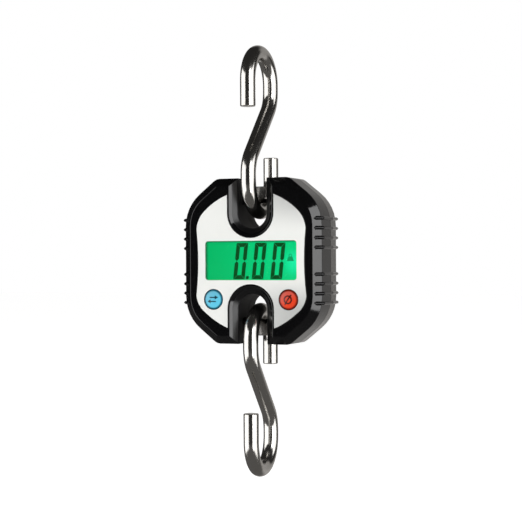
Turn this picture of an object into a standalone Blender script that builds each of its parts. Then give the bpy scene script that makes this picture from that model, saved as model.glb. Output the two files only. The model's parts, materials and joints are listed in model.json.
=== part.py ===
"""Digital hanging fish scale: a battery-powered case with a load cell, hung between two steel S-hooks.

Metres, +Z up. The front (display) faces -Y and the origin is the centre of the case.
Every piece is its own object, and a moving piece hangs from an empty on its joint's axis.
"""

from math import asin, atan2, cos, hypot, pi, radians, sin

import bmesh
import bpy
from mathutils import Matrix, Vector

MM = 0.001
GAP = 0.3 * MM

# Case shell
CASE_HALF_WIDTH = 38.5 * MM
CASE_HALF_HEIGHT = 43.5 * MM
CASE_FRONT = -14.0 * MM
CASE_REAR = 14.0 * MM
PARTING_Y = 3.0 * MM
WALL = 1.8 * MM
FRONT_WALL_INSIDE = -11.5 * MM
REAR_WALL_INSIDE = 11.6 * MM
TOP_FLAT_HALF_WIDTH = 20.5 * MM
TOP_CORNER_RADIUS = 5.0 * MM
SHOULDER_RADIUS = 22.0 * MM
SHOULDER_SLOPE = radians(39)
SHOULDER_STEPS = 6
FRONT_BEVEL = (4.2 * MM, 3.3 * MM)
REAR_BEVEL = (2.5 * MM, 2.5 * MM)

# Hook passages, one at the top and one at the bottom of the case
PASSAGE_RADIUS = 8.0 * MM
PASSAGE_CENTRE_Z = 25.1 * MM

# Grip ribs on both sides
RIB_HEIGHTS = [step * 5.0 * MM + 1.9 * MM for step in (1, 2, 3, 4)]
RIB_WIDTH = 1.7 * MM
RIB_REACH = 39.8 * MM

# S-hooks
HOOK_ROD_RADIUS = 4.0 * MM
HOOK_BEND_RADIUS = 16.0 * MM
HOOK_PIVOT_Z = 42.1 * MM
HOOK_BEND_SPACING = 52.0 * MM
HOOK_STRAIGHT = 3.0 * MM
UPPER_HOOK_TIP = 13.8 * MM
LOWER_HOOK_TIP = 15.0 * MM
HOOK_INNER_TIP_RISE = 13.4 * MM
LOWER_HOOK_TURN = radians(3)

# Display stack
WINDOW_HALF_WIDTH = 25.7 * MM
WINDOW_BOTTOM = -9.95 * MM
WINDOW_TOP = 10.6 * MM
WINDOW_CORNER = 1.5 * MM
LENS_OVERLAP = 0.7 * MM

# Front label
LABEL_BACK = -13.6 * MM
LABEL_RECESS = -13.3 * MM
LABEL_CUTOUT_RADIUS = 13.1 * MM
LABEL_SIDE_X = 29.75 * MM

# Buttons
BUTTON_X = 21.1 * MM
BUTTON_Z = -20.05 * MM
BUTTON_RADIUS = 5.2 * MM
BUTTON_HOLE_RADIUS = 5.5 * MM
BUTTON_FLANGE_RADIUS = 6.4 * MM
PLUNGER_RADIUS = 1.25 * MM

# Main board
BOARD_FRONT = -7.7 * MM
BOARD_BACK = -6.1 * MM
BOARD_HALF_WIDTH = 33.0 * MM
BOARD_TOP = 13.5 * MM
BOARD_BOTTOM = -24.0 * MM
BOARD_SCREW_X = 30.2 * MM

# Load cell
CELL_FRONT = -4.0 * MM
CELL_BACK = 4.0 * MM
CELL_HALF_WIDTH = 15.0 * MM
CELL_HALF_HEIGHT = 39.3 * MM
CELL_WINDOW_RADIUS = 10.2 * MM
CELL_BAR_BOTTOM = 30.4 * MM
CELL_BAR_ROUNDING = 3.0 * MM
CELL_NECK_HALF_WIDTH = 8.0 * MM
CELL_NECK_BACK = -1.0 * MM
CELL_SCREW_X = 12.6 * MM
CELL_SCREW_Z = 20.0 * MM

# Battery bay: two AAA cells side by side
BAY_HALF_LENGTH = 25.2 * MM
BAY_HALF_HEIGHT = 11.0 * MM
BAY_FLOOR = 1.3 * MM
BAY_WALL = 1.2 * MM
BATTERY_RADIUS = 5.2 * MM
BATTERY_Y = 6.9 * MM
BATTERY_Z = 5.5 * MM
BATTERY_BODY_LENGTH = 43.7 * MM
BATTERY_NUB_END = 24.2 * MM
CONTACT_INNER_X = 24.5 * MM
CONTACT_THICKNESS = 0.4 * MM
SPRING_RADIUS = 2.4 * MM
SPRING_WIRE_RADIUS = 0.3 * MM
SPRING_TURNS = 4

# Battery door
DOOR_HALF_WIDTH = 28.5 * MM
DOOR_HALF_HEIGHT = 12.5 * MM
DOOR_INSIDE = 12.8 * MM
DOOR_HINGE = Vector((-28.9 * MM, 13.7 * MM, 0))
DOOR_LUG_Z = 7.0 * MM
DOOR_TAB_REACH = 31.0 * MM
DOOR_TAB_HALF_HEIGHT = 5.0 * MM

# Case screws
SCREW_X = 28.0 * MM
SCREW_Z = 28.0 * MM
SCREW_SHAFT_RADIUS = 1.2 * MM
SCREW_HOLE_RADIUS = 1.5 * MM
SCREW_HEAD_Y = (8.0 * MM, 9.8 * MM)

SIDES = (-1, 1)


# ---------------------------------------------------------------- scene and materials

def clear_scene():
    for obj in list(bpy.data.objects):
        bpy.data.objects.remove(obj, do_unlink=True)
    for collection in list(bpy.data.collections):
        bpy.data.collections.remove(collection)


def new_collection(name):
    collection = bpy.data.collections.new(name)
    bpy.context.scene.collection.children.link(collection)
    return collection


def make_material(name, rgb, roughness, metallic=0.0, alpha=1.0):
    material = bpy.data.materials.new(name)
    material.use_nodes = True
    shader = material.node_tree.nodes["Principled BSDF"]
    shader.inputs["Base Color"].default_value = (*rgb, 1.0)
    shader.inputs["Roughness"].default_value = roughness
    shader.inputs["Metallic"].default_value = metallic
    shader.inputs["Alpha"].default_value = alpha
    material.diffuse_color = (*rgb, 1.0)
    return material


clear_scene()
PARTS = new_collection("fish_scale")
CUTTERS = new_collection("cutters")

BLACK_PLASTIC = make_material("black_plastic", (0.006, 0.006, 0.006), 0.12)
LABEL_WHITE = make_material("label_white", (0.85, 0.86, 0.82), 0.35)
CLEAR_PLASTIC = make_material("clear_plastic", (0.9, 0.95, 0.92), 0.05, alpha=0.3)
LCD_GREEN = make_material("lcd_green", (0.02, 0.62, 0.22), 0.3)
LIGHT_GUIDE = make_material("light_guide", (0.55, 0.85, 0.62), 0.3)
GREY_RUBBER = make_material("grey_rubber", (0.12, 0.12, 0.13), 0.7)
BOARD_GREEN = make_material("board_green", (0.02, 0.16, 0.06), 0.4)
CHIP_BLACK = make_material("chip_black", (0.015, 0.015, 0.017), 0.5)
BLUE_BUTTON = make_material("blue_button", (0.1, 0.45, 0.62), 0.2)
RED_BUTTON = make_material("red_button", (0.68, 0.07, 0.03), 0.2)
POLISHED_STEEL = make_material("polished_steel", (0.78, 0.78, 0.77), 0.12, 1.0)
SPRING_STEEL = make_material("spring_steel", (0.6, 0.6, 0.6), 0.25, 1.0)
FOIL = make_material("gauge_foil", (0.65, 0.42, 0.15), 0.4)
BATTERY_WRAP = make_material("battery_wrap", (0.03, 0.05, 0.16), 0.3)
RED_WIRE = make_material("red_wire", (0.6, 0.02, 0.02), 0.4)
BLACK_WIRE = make_material("black_wire", (0.01, 0.01, 0.01), 0.4)
GREY_WIRE = make_material("grey_wire", (0.3, 0.3, 0.32), 0.5)


# ---------------------------------------------------------------- outlines

def arc(centre, radius, start, end, steps):
    """Points on a circle from the start angle to the end angle, both included."""
    turn = (end - start) / steps
    return [
        (centre[0] + radius * cos(start + turn * step), centre[1] + radius * sin(start + turn * step))
        for step in range(steps + 1)
    ]


def arc_through(first, middle, last, steps):
    """Points on the circle through three points, from the first to the last."""
    (ax, ay), (bx, by), (cx, cy) = first, middle, last
    scale = 2 * (ax * (by - cy) + bx * (cy - ay) + cx * (ay - by))
    a_sq, b_sq, c_sq = ax * ax + ay * ay, bx * bx + by * by, cx * cx + cy * cy
    centre_x = (a_sq * (by - cy) + b_sq * (cy - ay) + c_sq * (ay - by)) / scale
    centre_y = (a_sq * (cx - bx) + b_sq * (ax - cx) + c_sq * (bx - ax)) / scale
    start = atan2(ay - centre_y, ax - centre_x)
    sweep = (atan2(cy - centre_y, cx - centre_x) - start + pi) % (2 * pi) - pi
    radius = hypot(ax - centre_x, ay - centre_y)
    return arc((centre_x, centre_y), radius, start, start + sweep, steps)


def rounded_box(low, high, radius, steps=3):
    """A rectangle with round corners, anticlockwise."""
    corners = [
        (high[0] - radius, low[1] + radius, -pi / 2),
        (high[0] - radius, high[1] - radius, 0),
        (low[0] + radius, high[1] - radius, pi / 2),
        (low[0] + radius, low[1] + radius, pi),
    ]
    points = []
    for x, y, start in corners:
        points += arc((x, y), radius, start, start + pi / 2, steps)
    return points


def mirrored_x(points):
    """The outline of a right half, closed by its own mirror image."""
    return points + [(-x, y) for x, y in reversed(points) if abs(x) > MM / 100]


def grown(points, distance):
    """An anticlockwise outline moved outwards by a distance, or inwards if it is negative."""
    result = []
    for index, (x, y) in enumerate(points):
        before = points[index - 1]
        after = points[(index + 1) % len(points)]
        into = Vector((x - before[0], y - before[1])).normalized()
        out = Vector((after[0] - x, after[1] - y)).normalized()
        normal_in = Vector((into.y, -into.x))
        normal_out = Vector((out.y, -out.x))
        shift = (normal_in + normal_out) * (distance / (1 + normal_in.dot(normal_out)))
        result.append((x + shift.x, y + shift.y))
    return result


def case_outline():
    """The case seen from the front: sloping shoulders, straight sides and a passage at each end."""
    corner_turn = TOP_CORNER_RADIUS * sin(SHOULDER_SLOPE / 2) / cos(SHOULDER_SLOPE / 2)
    corner = (TOP_FLAT_HALF_WIDTH - corner_turn, CASE_HALF_HEIGHT - TOP_CORNER_RADIUS)
    shoulder_x = CASE_HALF_WIDTH - SHOULDER_RADIUS
    run = shoulder_x + SHOULDER_RADIUS * sin(SHOULDER_SLOPE) - TOP_FLAT_HALF_WIDTH
    drop = run * sin(SHOULDER_SLOPE) / cos(SHOULDER_SLOPE)
    shoulder_z = CASE_HALF_HEIGHT - drop - SHOULDER_RADIUS * cos(SHOULDER_SLOPE)
    shoulder_end = pi / 2 - SHOULDER_SLOPE
    upper = arc((shoulder_x, shoulder_z), SHOULDER_RADIUS, 0, shoulder_end, SHOULDER_STEPS)
    upper += arc(corner, TOP_CORNER_RADIUS, shoulder_end, pi / 2, 2)
    upper += [(PASSAGE_RADIUS, CASE_HALF_HEIGHT)]
    upper += arc((0, PASSAGE_CENTRE_Z), PASSAGE_RADIUS, 0, -pi / 2, 7)
    lower = [(x, -z) for x, z in reversed(upper)]
    return mirrored_x(lower + upper)


def label_outline():
    """The front label: waisted sides, curved shoulders and a round cut-out at each end."""
    upper_end = (LABEL_CUTOUT_RADIUS, 34.7 * MM)
    upper_bend = (26.0 * MM, 26.5 * MM)
    upper_side = (30.65 * MM, 16.8 * MM)
    lower_side = (30.9 * MM, -18.2 * MM)
    lower_bend = (25.6 * MM, -27.1 * MM)
    lower_end = (LABEL_CUTOUT_RADIUS, -34.95 * MM)
    right = arc((0, -PASSAGE_CENTRE_Z), LABEL_CUTOUT_RADIUS, pi / 2, 0, 10)
    right += arc_through(lower_end, (19.9 * MM, -31.4 * MM), lower_bend, 6)
    right += arc_through(lower_bend, (29.3 * MM, -23.0 * MM), lower_side, 7)[1:]
    right += arc_through(lower_side, (LABEL_SIDE_X, 0), upper_side, 6)[1:]
    right += arc_through(upper_side, (29.3 * MM, 22.0 * MM), upper_bend, 7)[1:]
    right += arc_through(upper_bend, (20.2 * MM, 31.1 * MM), upper_end, 6)[1:]
    right += arc((0, PASSAGE_CENTRE_Z), LABEL_CUTOUT_RADIUS, 0, -pi / 2, 10)
    return mirrored_x(right)


def window_outline(extra=0.0):
    low = (-WINDOW_HALF_WIDTH - extra, WINDOW_BOTTOM - extra)
    high = (WINDOW_HALF_WIDTH + extra, WINDOW_TOP + extra)
    return rounded_box(low, high, WINDOW_CORNER)


def circle(centre, radius, steps=24):
    return arc(centre, radius, 0, 2 * pi, steps)[:-1]


# ---------------------------------------------------------------- solids

FRONT_VIEW = Matrix(((1, 0, 0), (0, 0, 1), (0, 1, 0)))
SIDE_VIEW = Matrix(((0, 0, 1), (1, 0, 0), (0, 1, 0)))
TOP_VIEW = Matrix(((1, 0, 0), (0, 1, 0), (0, 0, 1)))


def link(name, mesh, material, collection):
    obj = bpy.data.objects.new(name, mesh)
    collection.objects.link(obj)
    if material:
        mesh.materials.clear()
        mesh.materials.append(material)
    return obj


def mesh_of_curve(obj):
    """The curve object's closed mesh, in world space. The curve is removed."""
    bpy.context.view_layer.update()
    graph = bpy.context.evaluated_depsgraph_get()
    mesh = bpy.data.meshes.new_from_object(obj.evaluated_get(graph))
    mesh.transform(obj.matrix_world)
    bpy.data.objects.remove(obj)
    shape = bmesh.new()
    shape.from_mesh(mesh)
    bmesh.ops.remove_doubles(shape, verts=shape.verts, dist=MM / 1000)
    bmesh.ops.recalc_face_normals(shape, faces=shape.faces)
    shape.to_mesh(mesh)
    shape.free()
    return mesh


def prism_mesh(outlines, start, end, view=FRONT_VIEW):
    """A flat outline, with any holes in it, extruded along the view's depth axis."""
    curve = bpy.data.curves.new("outline", "CURVE")
    curve.dimensions = "2D"
    curve.fill_mode = "BOTH"
    curve.extrude = (end - start) / 2
    for points in outlines:
        spline = curve.splines.new("POLY")
        spline.points.add(len(points) - 1)
        spline.use_cyclic_u = True
        for point, (x, y) in zip(spline.points, points):
            point.co = (x, y, 0, 1)
    obj = bpy.data.objects.new("outline", curve)
    CUTTERS.objects.link(obj)
    mesh = mesh_of_curve(obj)
    mesh.transform(view.to_4x4() @ Matrix.Translation((0, 0, (start + end) / 2)))
    shape = bmesh.new()
    shape.from_mesh(mesh)
    bmesh.ops.recalc_face_normals(shape, faces=shape.faces)
    bmesh.ops.dissolve_limit(
        shape, angle_limit=radians(0.5), verts=shape.verts, edges=shape.edges, delimit={"NORMAL"}
    )
    shape.to_mesh(mesh)
    shape.free()
    return mesh


def prism(name, outlines, start, end, material=None, view=FRONT_VIEW):
    collection = PARTS if material else CUTTERS
    return link(name, prism_mesh(outlines, start, end, view), material, collection)


def box(name, low, high, material=None):
    mesh = bpy.data.meshes.new(name)
    shape = bmesh.new()
    bmesh.ops.create_cube(shape, size=1)
    size = Vector(high) - Vector(low)
    middle = (Vector(high) + Vector(low)) / 2
    bmesh.ops.scale(shape, vec=size, verts=shape.verts)
    bmesh.ops.translate(shape, vec=middle, verts=shape.verts)
    shape.to_mesh(mesh)
    shape.free()
    return link(name, mesh, material, PARTS if material else CUTTERS)


def rod(name, x, z, radius, start, end, material=None, steps=16):
    """A round bar along Y."""
    mesh = bpy.data.meshes.new(name)
    shape = bmesh.new()
    bmesh.ops.create_cone(
        shape, cap_ends=True, segments=steps, radius1=radius, radius2=radius, depth=end - start
    )
    bmesh.ops.rotate(shape, matrix=Matrix.Rotation(pi / 2, 3, "X"), verts=shape.verts)
    bmesh.ops.translate(shape, vec=(x, (start + end) / 2, z), verts=shape.verts)
    shape.to_mesh(mesh)
    shape.free()
    return link(name, mesh, material, PARTS if material else CUTTERS)


def slab(name, outline, front, back, front_bevel, back_bevel, material=None):
    """An outline with thickness whose front and rear edges slope in by (inset, depth)."""
    mesh = prism_mesh([outline], front + front_bevel[1], back - back_bevel[1])
    shape = bmesh.new()
    shape.from_mesh(mesh)
    shape.faces.ensure_lookup_table()
    for direction, (inset, depth) in ((-1, front_bevel), (1, back_bevel)):
        if inset:
            cap = [face for face in shape.faces if face.normal.y * direction > 0.99]
            bmesh.ops.inset_region(
                shape, faces=cap, thickness=inset, depth=depth, use_even_offset=True, use_boundary=True
            )
    shape.to_mesh(mesh)
    shape.free()
    return link(name, mesh, material, PARTS if material else CUTTERS)


def turned(name, profile, axis_point, axis, material):
    """A solid turned about an axis through axis_point. The profile is (radius, height along the axis)."""
    mesh = bpy.data.meshes.new(name)
    shape = bmesh.new()
    points = [shape.verts.new((radius, 0, height)) for radius, height in profile]
    for start, end in zip(points, points[1:]):
        shape.edges.new((start, end))
    shape.to_mesh(mesh)
    shape.free()
    obj = link(name, mesh, material, PARTS)
    screw = obj.modifiers.new("turn", "SCREW")
    screw.steps = 24
    screw.render_steps = 24
    screw.use_merge_vertices = True
    screw.merge_threshold = 0.00001
    obj.location = axis_point
    obj.rotation_mode = "QUATERNION"
    obj.rotation_quaternion = Vector((0, 0, 1)).rotation_difference(Vector(axis))
    return obj


def wire(name, points, radius, material, sides=8):
    """A round wire along the points, with flat ends."""
    curve = bpy.data.curves.new(name, "CURVE")
    curve.dimensions = "3D"
    curve.bevel_depth = radius
    curve.bevel_resolution = (sides - 4) // 2
    curve.use_fill_caps = True
    spline = curve.splines.new("POLY")
    spline.points.add(len(points) - 1)
    for point, place in zip(spline.points, points):
        point.co = (*place, 1)
    obj = bpy.data.objects.new(name, curve)
    PARTS.objects.link(obj)
    obj.data.materials.append(material)
    return obj


def as_helper(obj):
    obj.hide_render = True
    obj.display_type = "WIRE"
    for collection in list(obj.users_collection):
        collection.objects.unlink(obj)
    CUTTERS.objects.link(obj)


def joined(name, pieces):
    """One helper mesh made of several separate solids."""
    shape = bmesh.new()
    for piece in pieces:
        shape.from_mesh(piece.data)
        bpy.data.objects.remove(piece)
    mesh = bpy.data.meshes.new(name)
    shape.to_mesh(mesh)
    shape.free()
    return link(name, mesh, None, CUTTERS)


def combine(target, operation, pieces, label):
    helper = joined(f"{target.name}_{label}", pieces)
    as_helper(helper)
    modifier = target.modifiers.new(label, "BOOLEAN")
    modifier.operation = operation
    modifier.solver = "EXACT"
    modifier.object = helper


def cut(target, label, *pieces):
    combine(target, "DIFFERENCE", pieces, label)


def add(target, label, *pieces):
    combine(target, "UNION", pieces, label)


# ---------------------------------------------------------------- case shells

def ribs(start, end, front_slope):
    """The grip ribs of one shell, both sides, between two Y positions. They follow the shell's sloping edge."""
    root_x = CASE_HALF_WIDTH - 1.2 * MM
    if front_slope:
        profile = [
            (35.3 * MM, start + 1.3 * MM), (35.4 * MM, start - 0.55 * MM), (39.3 * MM, start + 2.45 * MM),
            (RIB_REACH, start + 2.9 * MM), (RIB_REACH, end), (root_x, end),
        ]
    else:
        profile = [
            (root_x, start), (RIB_REACH, start), (RIB_REACH, end - 2.1 * MM), (39.2 * MM, end - 1.3 * MM),
            (37.6 * MM, end), (36.6 * MM, end - 0.6 * MM),
        ]
    pieces = []
    for height in RIB_HEIGHTS:
        for side in SIDES:
            for end_of_case in SIDES:
                outline = [(side * x, y) for x, y in profile]
                middle = height * end_of_case
                pieces.append(
                    prism("rib", [outline], middle - RIB_WIDTH / 2, middle + RIB_WIDTH / 2, view=TOP_VIEW)
                )
    return pieces


def bar_slots():
    """Where the load cell's bars cross the walls of the hook passages."""
    clearance = 0.5 * MM
    half_width = PASSAGE_RADIUS + 3.0 * MM
    low_z = CELL_BAR_BOTTOM - clearance
    high_z = CELL_HALF_HEIGHT + clearance
    slots = []
    for low, high in ((low_z, high_z), (-high_z, -low_z)):
        slots.append(
            box("slot", (-half_width, CELL_FRONT - 0.4 * MM, low), (half_width, CELL_BACK + 0.4 * MM, high))
        )
    return slots


def four_corners():
    return [(side * SCREW_X, end * SCREW_Z) for side in SIDES for end in SIDES]


def make_front_case():
    outline = case_outline()
    case = slab(
        "front_case", outline, CASE_FRONT, PARTING_Y - GAP / 2, FRONT_BEVEL, (0, 0), BLACK_PLASTIC
    )
    add(case, "ribs", *ribs(-13.3 * MM, PARTING_Y - GAP / 2, True))
    inside = slab(
        "inside", grown(outline, -WALL), FRONT_WALL_INSIDE, PARTING_Y + MM, (3.0 * MM, 2.36 * MM), (0, 0)
    )
    cut(case, "inside", inside)

    rim_extra = LENS_OVERLAP + 2.0 * MM
    supports = [
        prism("rim", [window_outline(rim_extra)], FRONT_WALL_INSIDE - 0.2 * MM, BOARD_FRONT - 0.5 * MM)
    ]
    for x, z in four_corners():
        supports.append(rod("post", x, z, 3.0 * MM, FRONT_WALL_INSIDE - 0.2 * MM, PARTING_Y - 0.1 * MM))
    for side in SIDES:
        supports.append(
            rod("post", side * BOARD_SCREW_X, 0, 2.2 * MM, FRONT_WALL_INSIDE - 0.2 * MM, BOARD_FRONT - GAP)
        )
        supports.append(
            rod("post", side * CELL_SCREW_X, CELL_SCREW_Z, 2.0 * MM, FRONT_WALL_INSIDE - 0.2 * MM,
                CELL_FRONT - GAP)
        )
    for support in supports:
        add(case, "support", support)

    holes = [rod("hole", x, z, SCREW_HOLE_RADIUS, -9.5 * MM, PARTING_Y + MM, steps=12) for x, z in four_corners()]
    for side in SIDES:
        holes.append(rod("hole", side * BOARD_SCREW_X, 0, 1.0 * MM, -10.6 * MM, BOARD_FRONT, steps=12))
        holes.append(rod("hole", side * CELL_SCREW_X, CELL_SCREW_Z, 1.3 * MM, -10.0 * MM, CELL_FRONT, steps=12))
        holes.append(
            rod("hole", side * BUTTON_X, BUTTON_Z, BUTTON_HOLE_RADIUS, CASE_FRONT - MM, FRONT_WALL_INSIDE + MM,
                steps=28)
        )
    cut(case, "holes", *holes)
    cut(case, "label_recess", prism("recess", [grown(label_outline(), GAP)], CASE_FRONT - MM, LABEL_RECESS))
    cut(
        case, "window",
        prism("window", [window_outline(LENS_OVERLAP + GAP)], CASE_FRONT - 2 * MM, BOARD_FRONT),
    )
    cut(case, "bar_slots", *bar_slots())
    return case


def make_rear_case():
    outline = case_outline()
    start = PARTING_Y + GAP / 2
    case = slab("rear_case", outline, start, CASE_REAR, (0, 0), REAR_BEVEL, BLACK_PLASTIC)
    add(case, "ribs", *ribs(start, 13.4 * MM, False))
    cut(
        case, "inside",
        slab("inside", grown(outline, -WALL), start - MM, REAR_WALL_INSIDE, (0, 0), (1.5 * MM, 1.5 * MM)),
    )
    bay_outer = (BAY_HALF_LENGTH + BAY_WALL, BAY_HALF_HEIGHT + BAY_WALL)
    add(
        case, "bay",
        box("bay", (-bay_outer[0], BAY_FLOOR - 0.8 * MM, -bay_outer[1]),
            (bay_outer[0], REAR_WALL_INSIDE + 0.4 * MM, bay_outer[1])),
    )
    for x, z in four_corners():
        add(case, "boss", rod("boss", x, z, 3.8 * MM, PARTING_Y + 0.5 * MM, REAR_WALL_INSIDE + 0.4 * MM))
    cut(
        case, "bay_inside",
        box("bay", (-BAY_HALF_LENGTH, BAY_FLOOR, -BAY_HALF_HEIGHT),
            (BAY_HALF_LENGTH, CASE_REAR + MM, BAY_HALF_HEIGHT)),
    )
    rebate_floor = DOOR_INSIDE - GAP
    rebate = grown(rounded_box((-DOOR_HALF_WIDTH, -DOOR_HALF_HEIGHT), (DOOR_HALF_WIDTH, DOOR_HALF_HEIGHT),
                               1.5 * MM), GAP)
    cut(case, "rebate", prism("rebate", [rebate], rebate_floor, CASE_REAR + MM))
    cut(
        case, "finger_recess",
        box("tab", (DOOR_HALF_WIDTH - MM, rebate_floor, -DOOR_TAB_HALF_HEIGHT - GAP),
            (DOOR_TAB_REACH + 2.2 * MM, CASE_REAR + MM, DOOR_TAB_HALF_HEIGHT + GAP)),
    )
    lug_slots = []
    for side in SIDES:
        middle = side * DOOR_LUG_Z
        lug_slots.append(
            box("slot", (-DOOR_HALF_WIDTH - GAP, 10.0 * MM, middle - 2.3 * MM),
                (-25.0 * MM, rebate_floor + 0.1 * MM, middle + 2.3 * MM))
        )
    lug_slots.append(box("slot", (26.0 * MM, 10.0 * MM, -3.3 * MM), (28.6 * MM, rebate_floor + 0.1 * MM, 3.3 * MM)))
    cut(case, "lug_slots", *lug_slots)
    wells = [rod("well", x, z, 2.9 * MM, SCREW_HEAD_Y[0] - GAP, CASE_REAR + MM) for x, z in four_corners()]
    cut(case, "wells", *wells)
    holes = [rod("hole", x, z, SCREW_HOLE_RADIUS, PARTING_Y, CASE_REAR - 2 * MM, steps=12) for x, z in four_corners()]
    tail_slots = [
        box("tail", (24.2 * MM, -MM, side * BATTERY_Z - 1.4 * MM), (25.2 * MM, 2 * MM, side * BATTERY_Z + 1.4 * MM))
        for side in SIDES
    ]
    cut(case, "holes", *holes)
    cut(case, "tail_slots", *tail_slots)
    cut(case, "bar_slots", *bar_slots())
    return case


def make_battery_door():
    outline = rounded_box((-DOOR_HALF_WIDTH, -DOOR_HALF_HEIGHT), (DOOR_HALF_WIDTH, DOOR_HALF_HEIGHT), 1.5 * MM)
    door = prism("battery_door", [outline], DOOR_INSIDE, CASE_REAR, BLACK_PLASTIC)
    tab = box(
        "tab", (DOOR_HALF_WIDTH - MM, DOOR_INSIDE + 0.1 * MM, -DOOR_TAB_HALF_HEIGHT),
        (DOOR_TAB_REACH, CASE_REAR - 0.1 * MM, DOOR_TAB_HALF_HEIGHT),
    )
    add(door, "tab", tab)
    latch = box("latch", (26.6 * MM, 10.6 * MM, -3.0 * MM), (27.6 * MM, DOOR_INSIDE + 0.2 * MM, 3.0 * MM))
    add(door, "latch", latch)
    for side in SIDES:
        low, high = side * DOOR_LUG_Z - 2.0 * MM, side * DOOR_LUG_Z + 2.0 * MM
        lug = [
            (-28.2 * MM, DOOR_INSIDE + 0.2 * MM), (-28.2 * MM, 11.3 * MM), (-30.6 * MM, 11.3 * MM),
            (-30.6 * MM, 10.4 * MM), (-27.4 * MM, 10.4 * MM), (-27.4 * MM, DOOR_INSIDE + 0.2 * MM),
        ]
        add(door, "lug", prism("lug", [lug], low, high, view=TOP_VIEW))
    return door


def make_screw(name, x, z, head_y, tip_y, head_radius, shaft_radius):
    """A pan-head screw along Y with a cross recess, driven from the rear."""
    head_front, head_back = head_y
    profile = [
        (0, tip_y), (shaft_radius * 0.5, tip_y), (shaft_radius, tip_y + 1.2 * MM), (shaft_radius, head_front),
        (head_radius, head_front), (head_radius, head_back - 0.5 * MM), (head_radius * 0.75, head_back),
        (0, head_back),
    ]
    screw = turned(name, list(reversed(profile)), (x, 0, z), (0, 1, 0), SPRING_STEEL)
    screw.modifiers["turn"].steps = 12
    screw.modifiers["turn"].render_steps = 12
    return screw


# ---------------------------------------------------------------- display, label and buttons

def make_display():
    label_holes = [window_outline()]
    label_holes += [circle((side * BUTTON_X, BUTTON_Z), BUTTON_HOLE_RADIUS, 28) for side in SIDES]
    label = prism("front_label", [label_outline()] + label_holes, CASE_FRONT, LABEL_BACK, LABEL_WHITE)
    lens = prism("lcd_window", [window_outline(LENS_OVERLAP)], LABEL_RECESS, -12.5 * MM, CLEAR_PLASTIC)
    glass = prism("lcd_glass", [window_outline(LENS_OVERLAP)], -12.2 * MM, -10.4 * MM, LCD_GREEN)
    half = WINDOW_HALF_WIDTH + LENS_OVERLAP
    contact_split = -9.0 * MM
    guide = rounded_box((-half, contact_split + 0.2 * MM), (half, WINDOW_TOP + LENS_OVERLAP), WINDOW_CORNER)
    backlight = prism("backlight_panel", [guide], -10.1 * MM, -8.3 * MM, LIGHT_GUIDE)
    zebra = box(
        "zebra_connector", (-half + 2 * MM, -10.1 * MM, WINDOW_BOTTOM - LENS_OVERLAP + 0.1 * MM),
        (half - 2 * MM, BOARD_FRONT - GAP, contact_split - 0.1 * MM), GREY_RUBBER,
    )
    return [label, lens, glass, backlight, zebra]


def make_button(word, side, material):
    """A button cap and the low push switch behind it: (moving pieces, fixed pieces)."""
    x = side * BUTTON_X
    cap_profile = [
        (0, -15.0 * MM), (2.0 * MM, -14.92 * MM), (3.6 * MM, -14.65 * MM), (4.6 * MM, -14.25 * MM),
        (BUTTON_RADIUS, -13.7 * MM), (BUTTON_RADIUS, FRONT_WALL_INSIDE + GAP),
        (BUTTON_FLANGE_RADIUS, FRONT_WALL_INSIDE + GAP), (BUTTON_FLANGE_RADIUS, -10.6 * MM),
        (1.8 * MM, -10.6 * MM), (1.8 * MM, -10.4 * MM), (0, -10.4 * MM),
    ]
    cap = turned(f"{word}_button", list(reversed(cap_profile)), (x, 0, BUTTON_Z), (0, 1, 0), material)
    plunger = rod(f"{word}_switch_plunger", x, BUTTON_Z, PLUNGER_RADIUS, -10.1 * MM, -9.0 * MM, CHIP_BLACK, 16)
    half = 2.6 * MM
    body = box(
        f"{word}_switch_body", (x - half, -9.6 * MM, BUTTON_Z - half),
        (x + half, BOARD_FRONT - GAP, BUTTON_Z + half), SPRING_STEEL,
    )
    cut(body, "well", rod("well", x, BUTTON_Z, PLUNGER_RADIUS + GAP, -10.0 * MM, -8.4 * MM, steps=16))
    return [cap, plunger], [body]


# ---------------------------------------------------------------- electronics

def make_board():
    """The main board, cut round at the lower hook passage."""
    passage = PASSAGE_RADIUS + WALL + 0.8 * MM
    right = arc((0, -PASSAGE_CENTRE_Z), passage, pi / 2, 0.11, 8)
    right += [
        (right[-1][0], BOARD_BOTTOM), (BOARD_HALF_WIDTH - 4 * MM, BOARD_BOTTOM),
        (BOARD_HALF_WIDTH, BOARD_BOTTOM + 4 * MM), (BOARD_HALF_WIDTH, BOARD_TOP), (0, BOARD_TOP),
    ]
    board = prism("main_board", [mirrored_x(right)], BOARD_FRONT, BOARD_BACK, BOARD_GREEN)
    holes = [
        rod("hole", side * BOARD_SCREW_X, 0, 1.3 * MM, BOARD_FRONT - MM, BOARD_BACK + MM, steps=12)
        for side in SIDES
    ]
    cut(board, "holes", *holes)
    chip_front = BOARD_BACK + GAP
    controller = box(
        "controller_chip", (17.0 * MM, chip_front, -4.0 * MM), (27.0 * MM, -4.2 * MM, 6.0 * MM), CHIP_BLACK
    )
    converter = box(
        "converter_chip", (-26.0 * MM, chip_front, -5.0 * MM), (-18.0 * MM, -4.4 * MM, 0), CHIP_BLACK
    )
    crystal = prism(
        "clock_crystal", [rounded_box((17.0 * MM, -12.0 * MM), (26.0 * MM, -8.4 * MM), 1.7 * MM)],
        chip_front, -3.2 * MM, SPRING_STEEL,
    )
    screws = [
        make_screw(f"board_screw_{word}", side * BOARD_SCREW_X, 0, (BOARD_BACK + GAP, -4.6 * MM), -10.3 * MM,
                   2.0 * MM, 0.7 * MM)
        for word, side in (("left", -1), ("right", 1))
    ]
    return [board, controller, converter, crystal] + screws


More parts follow.
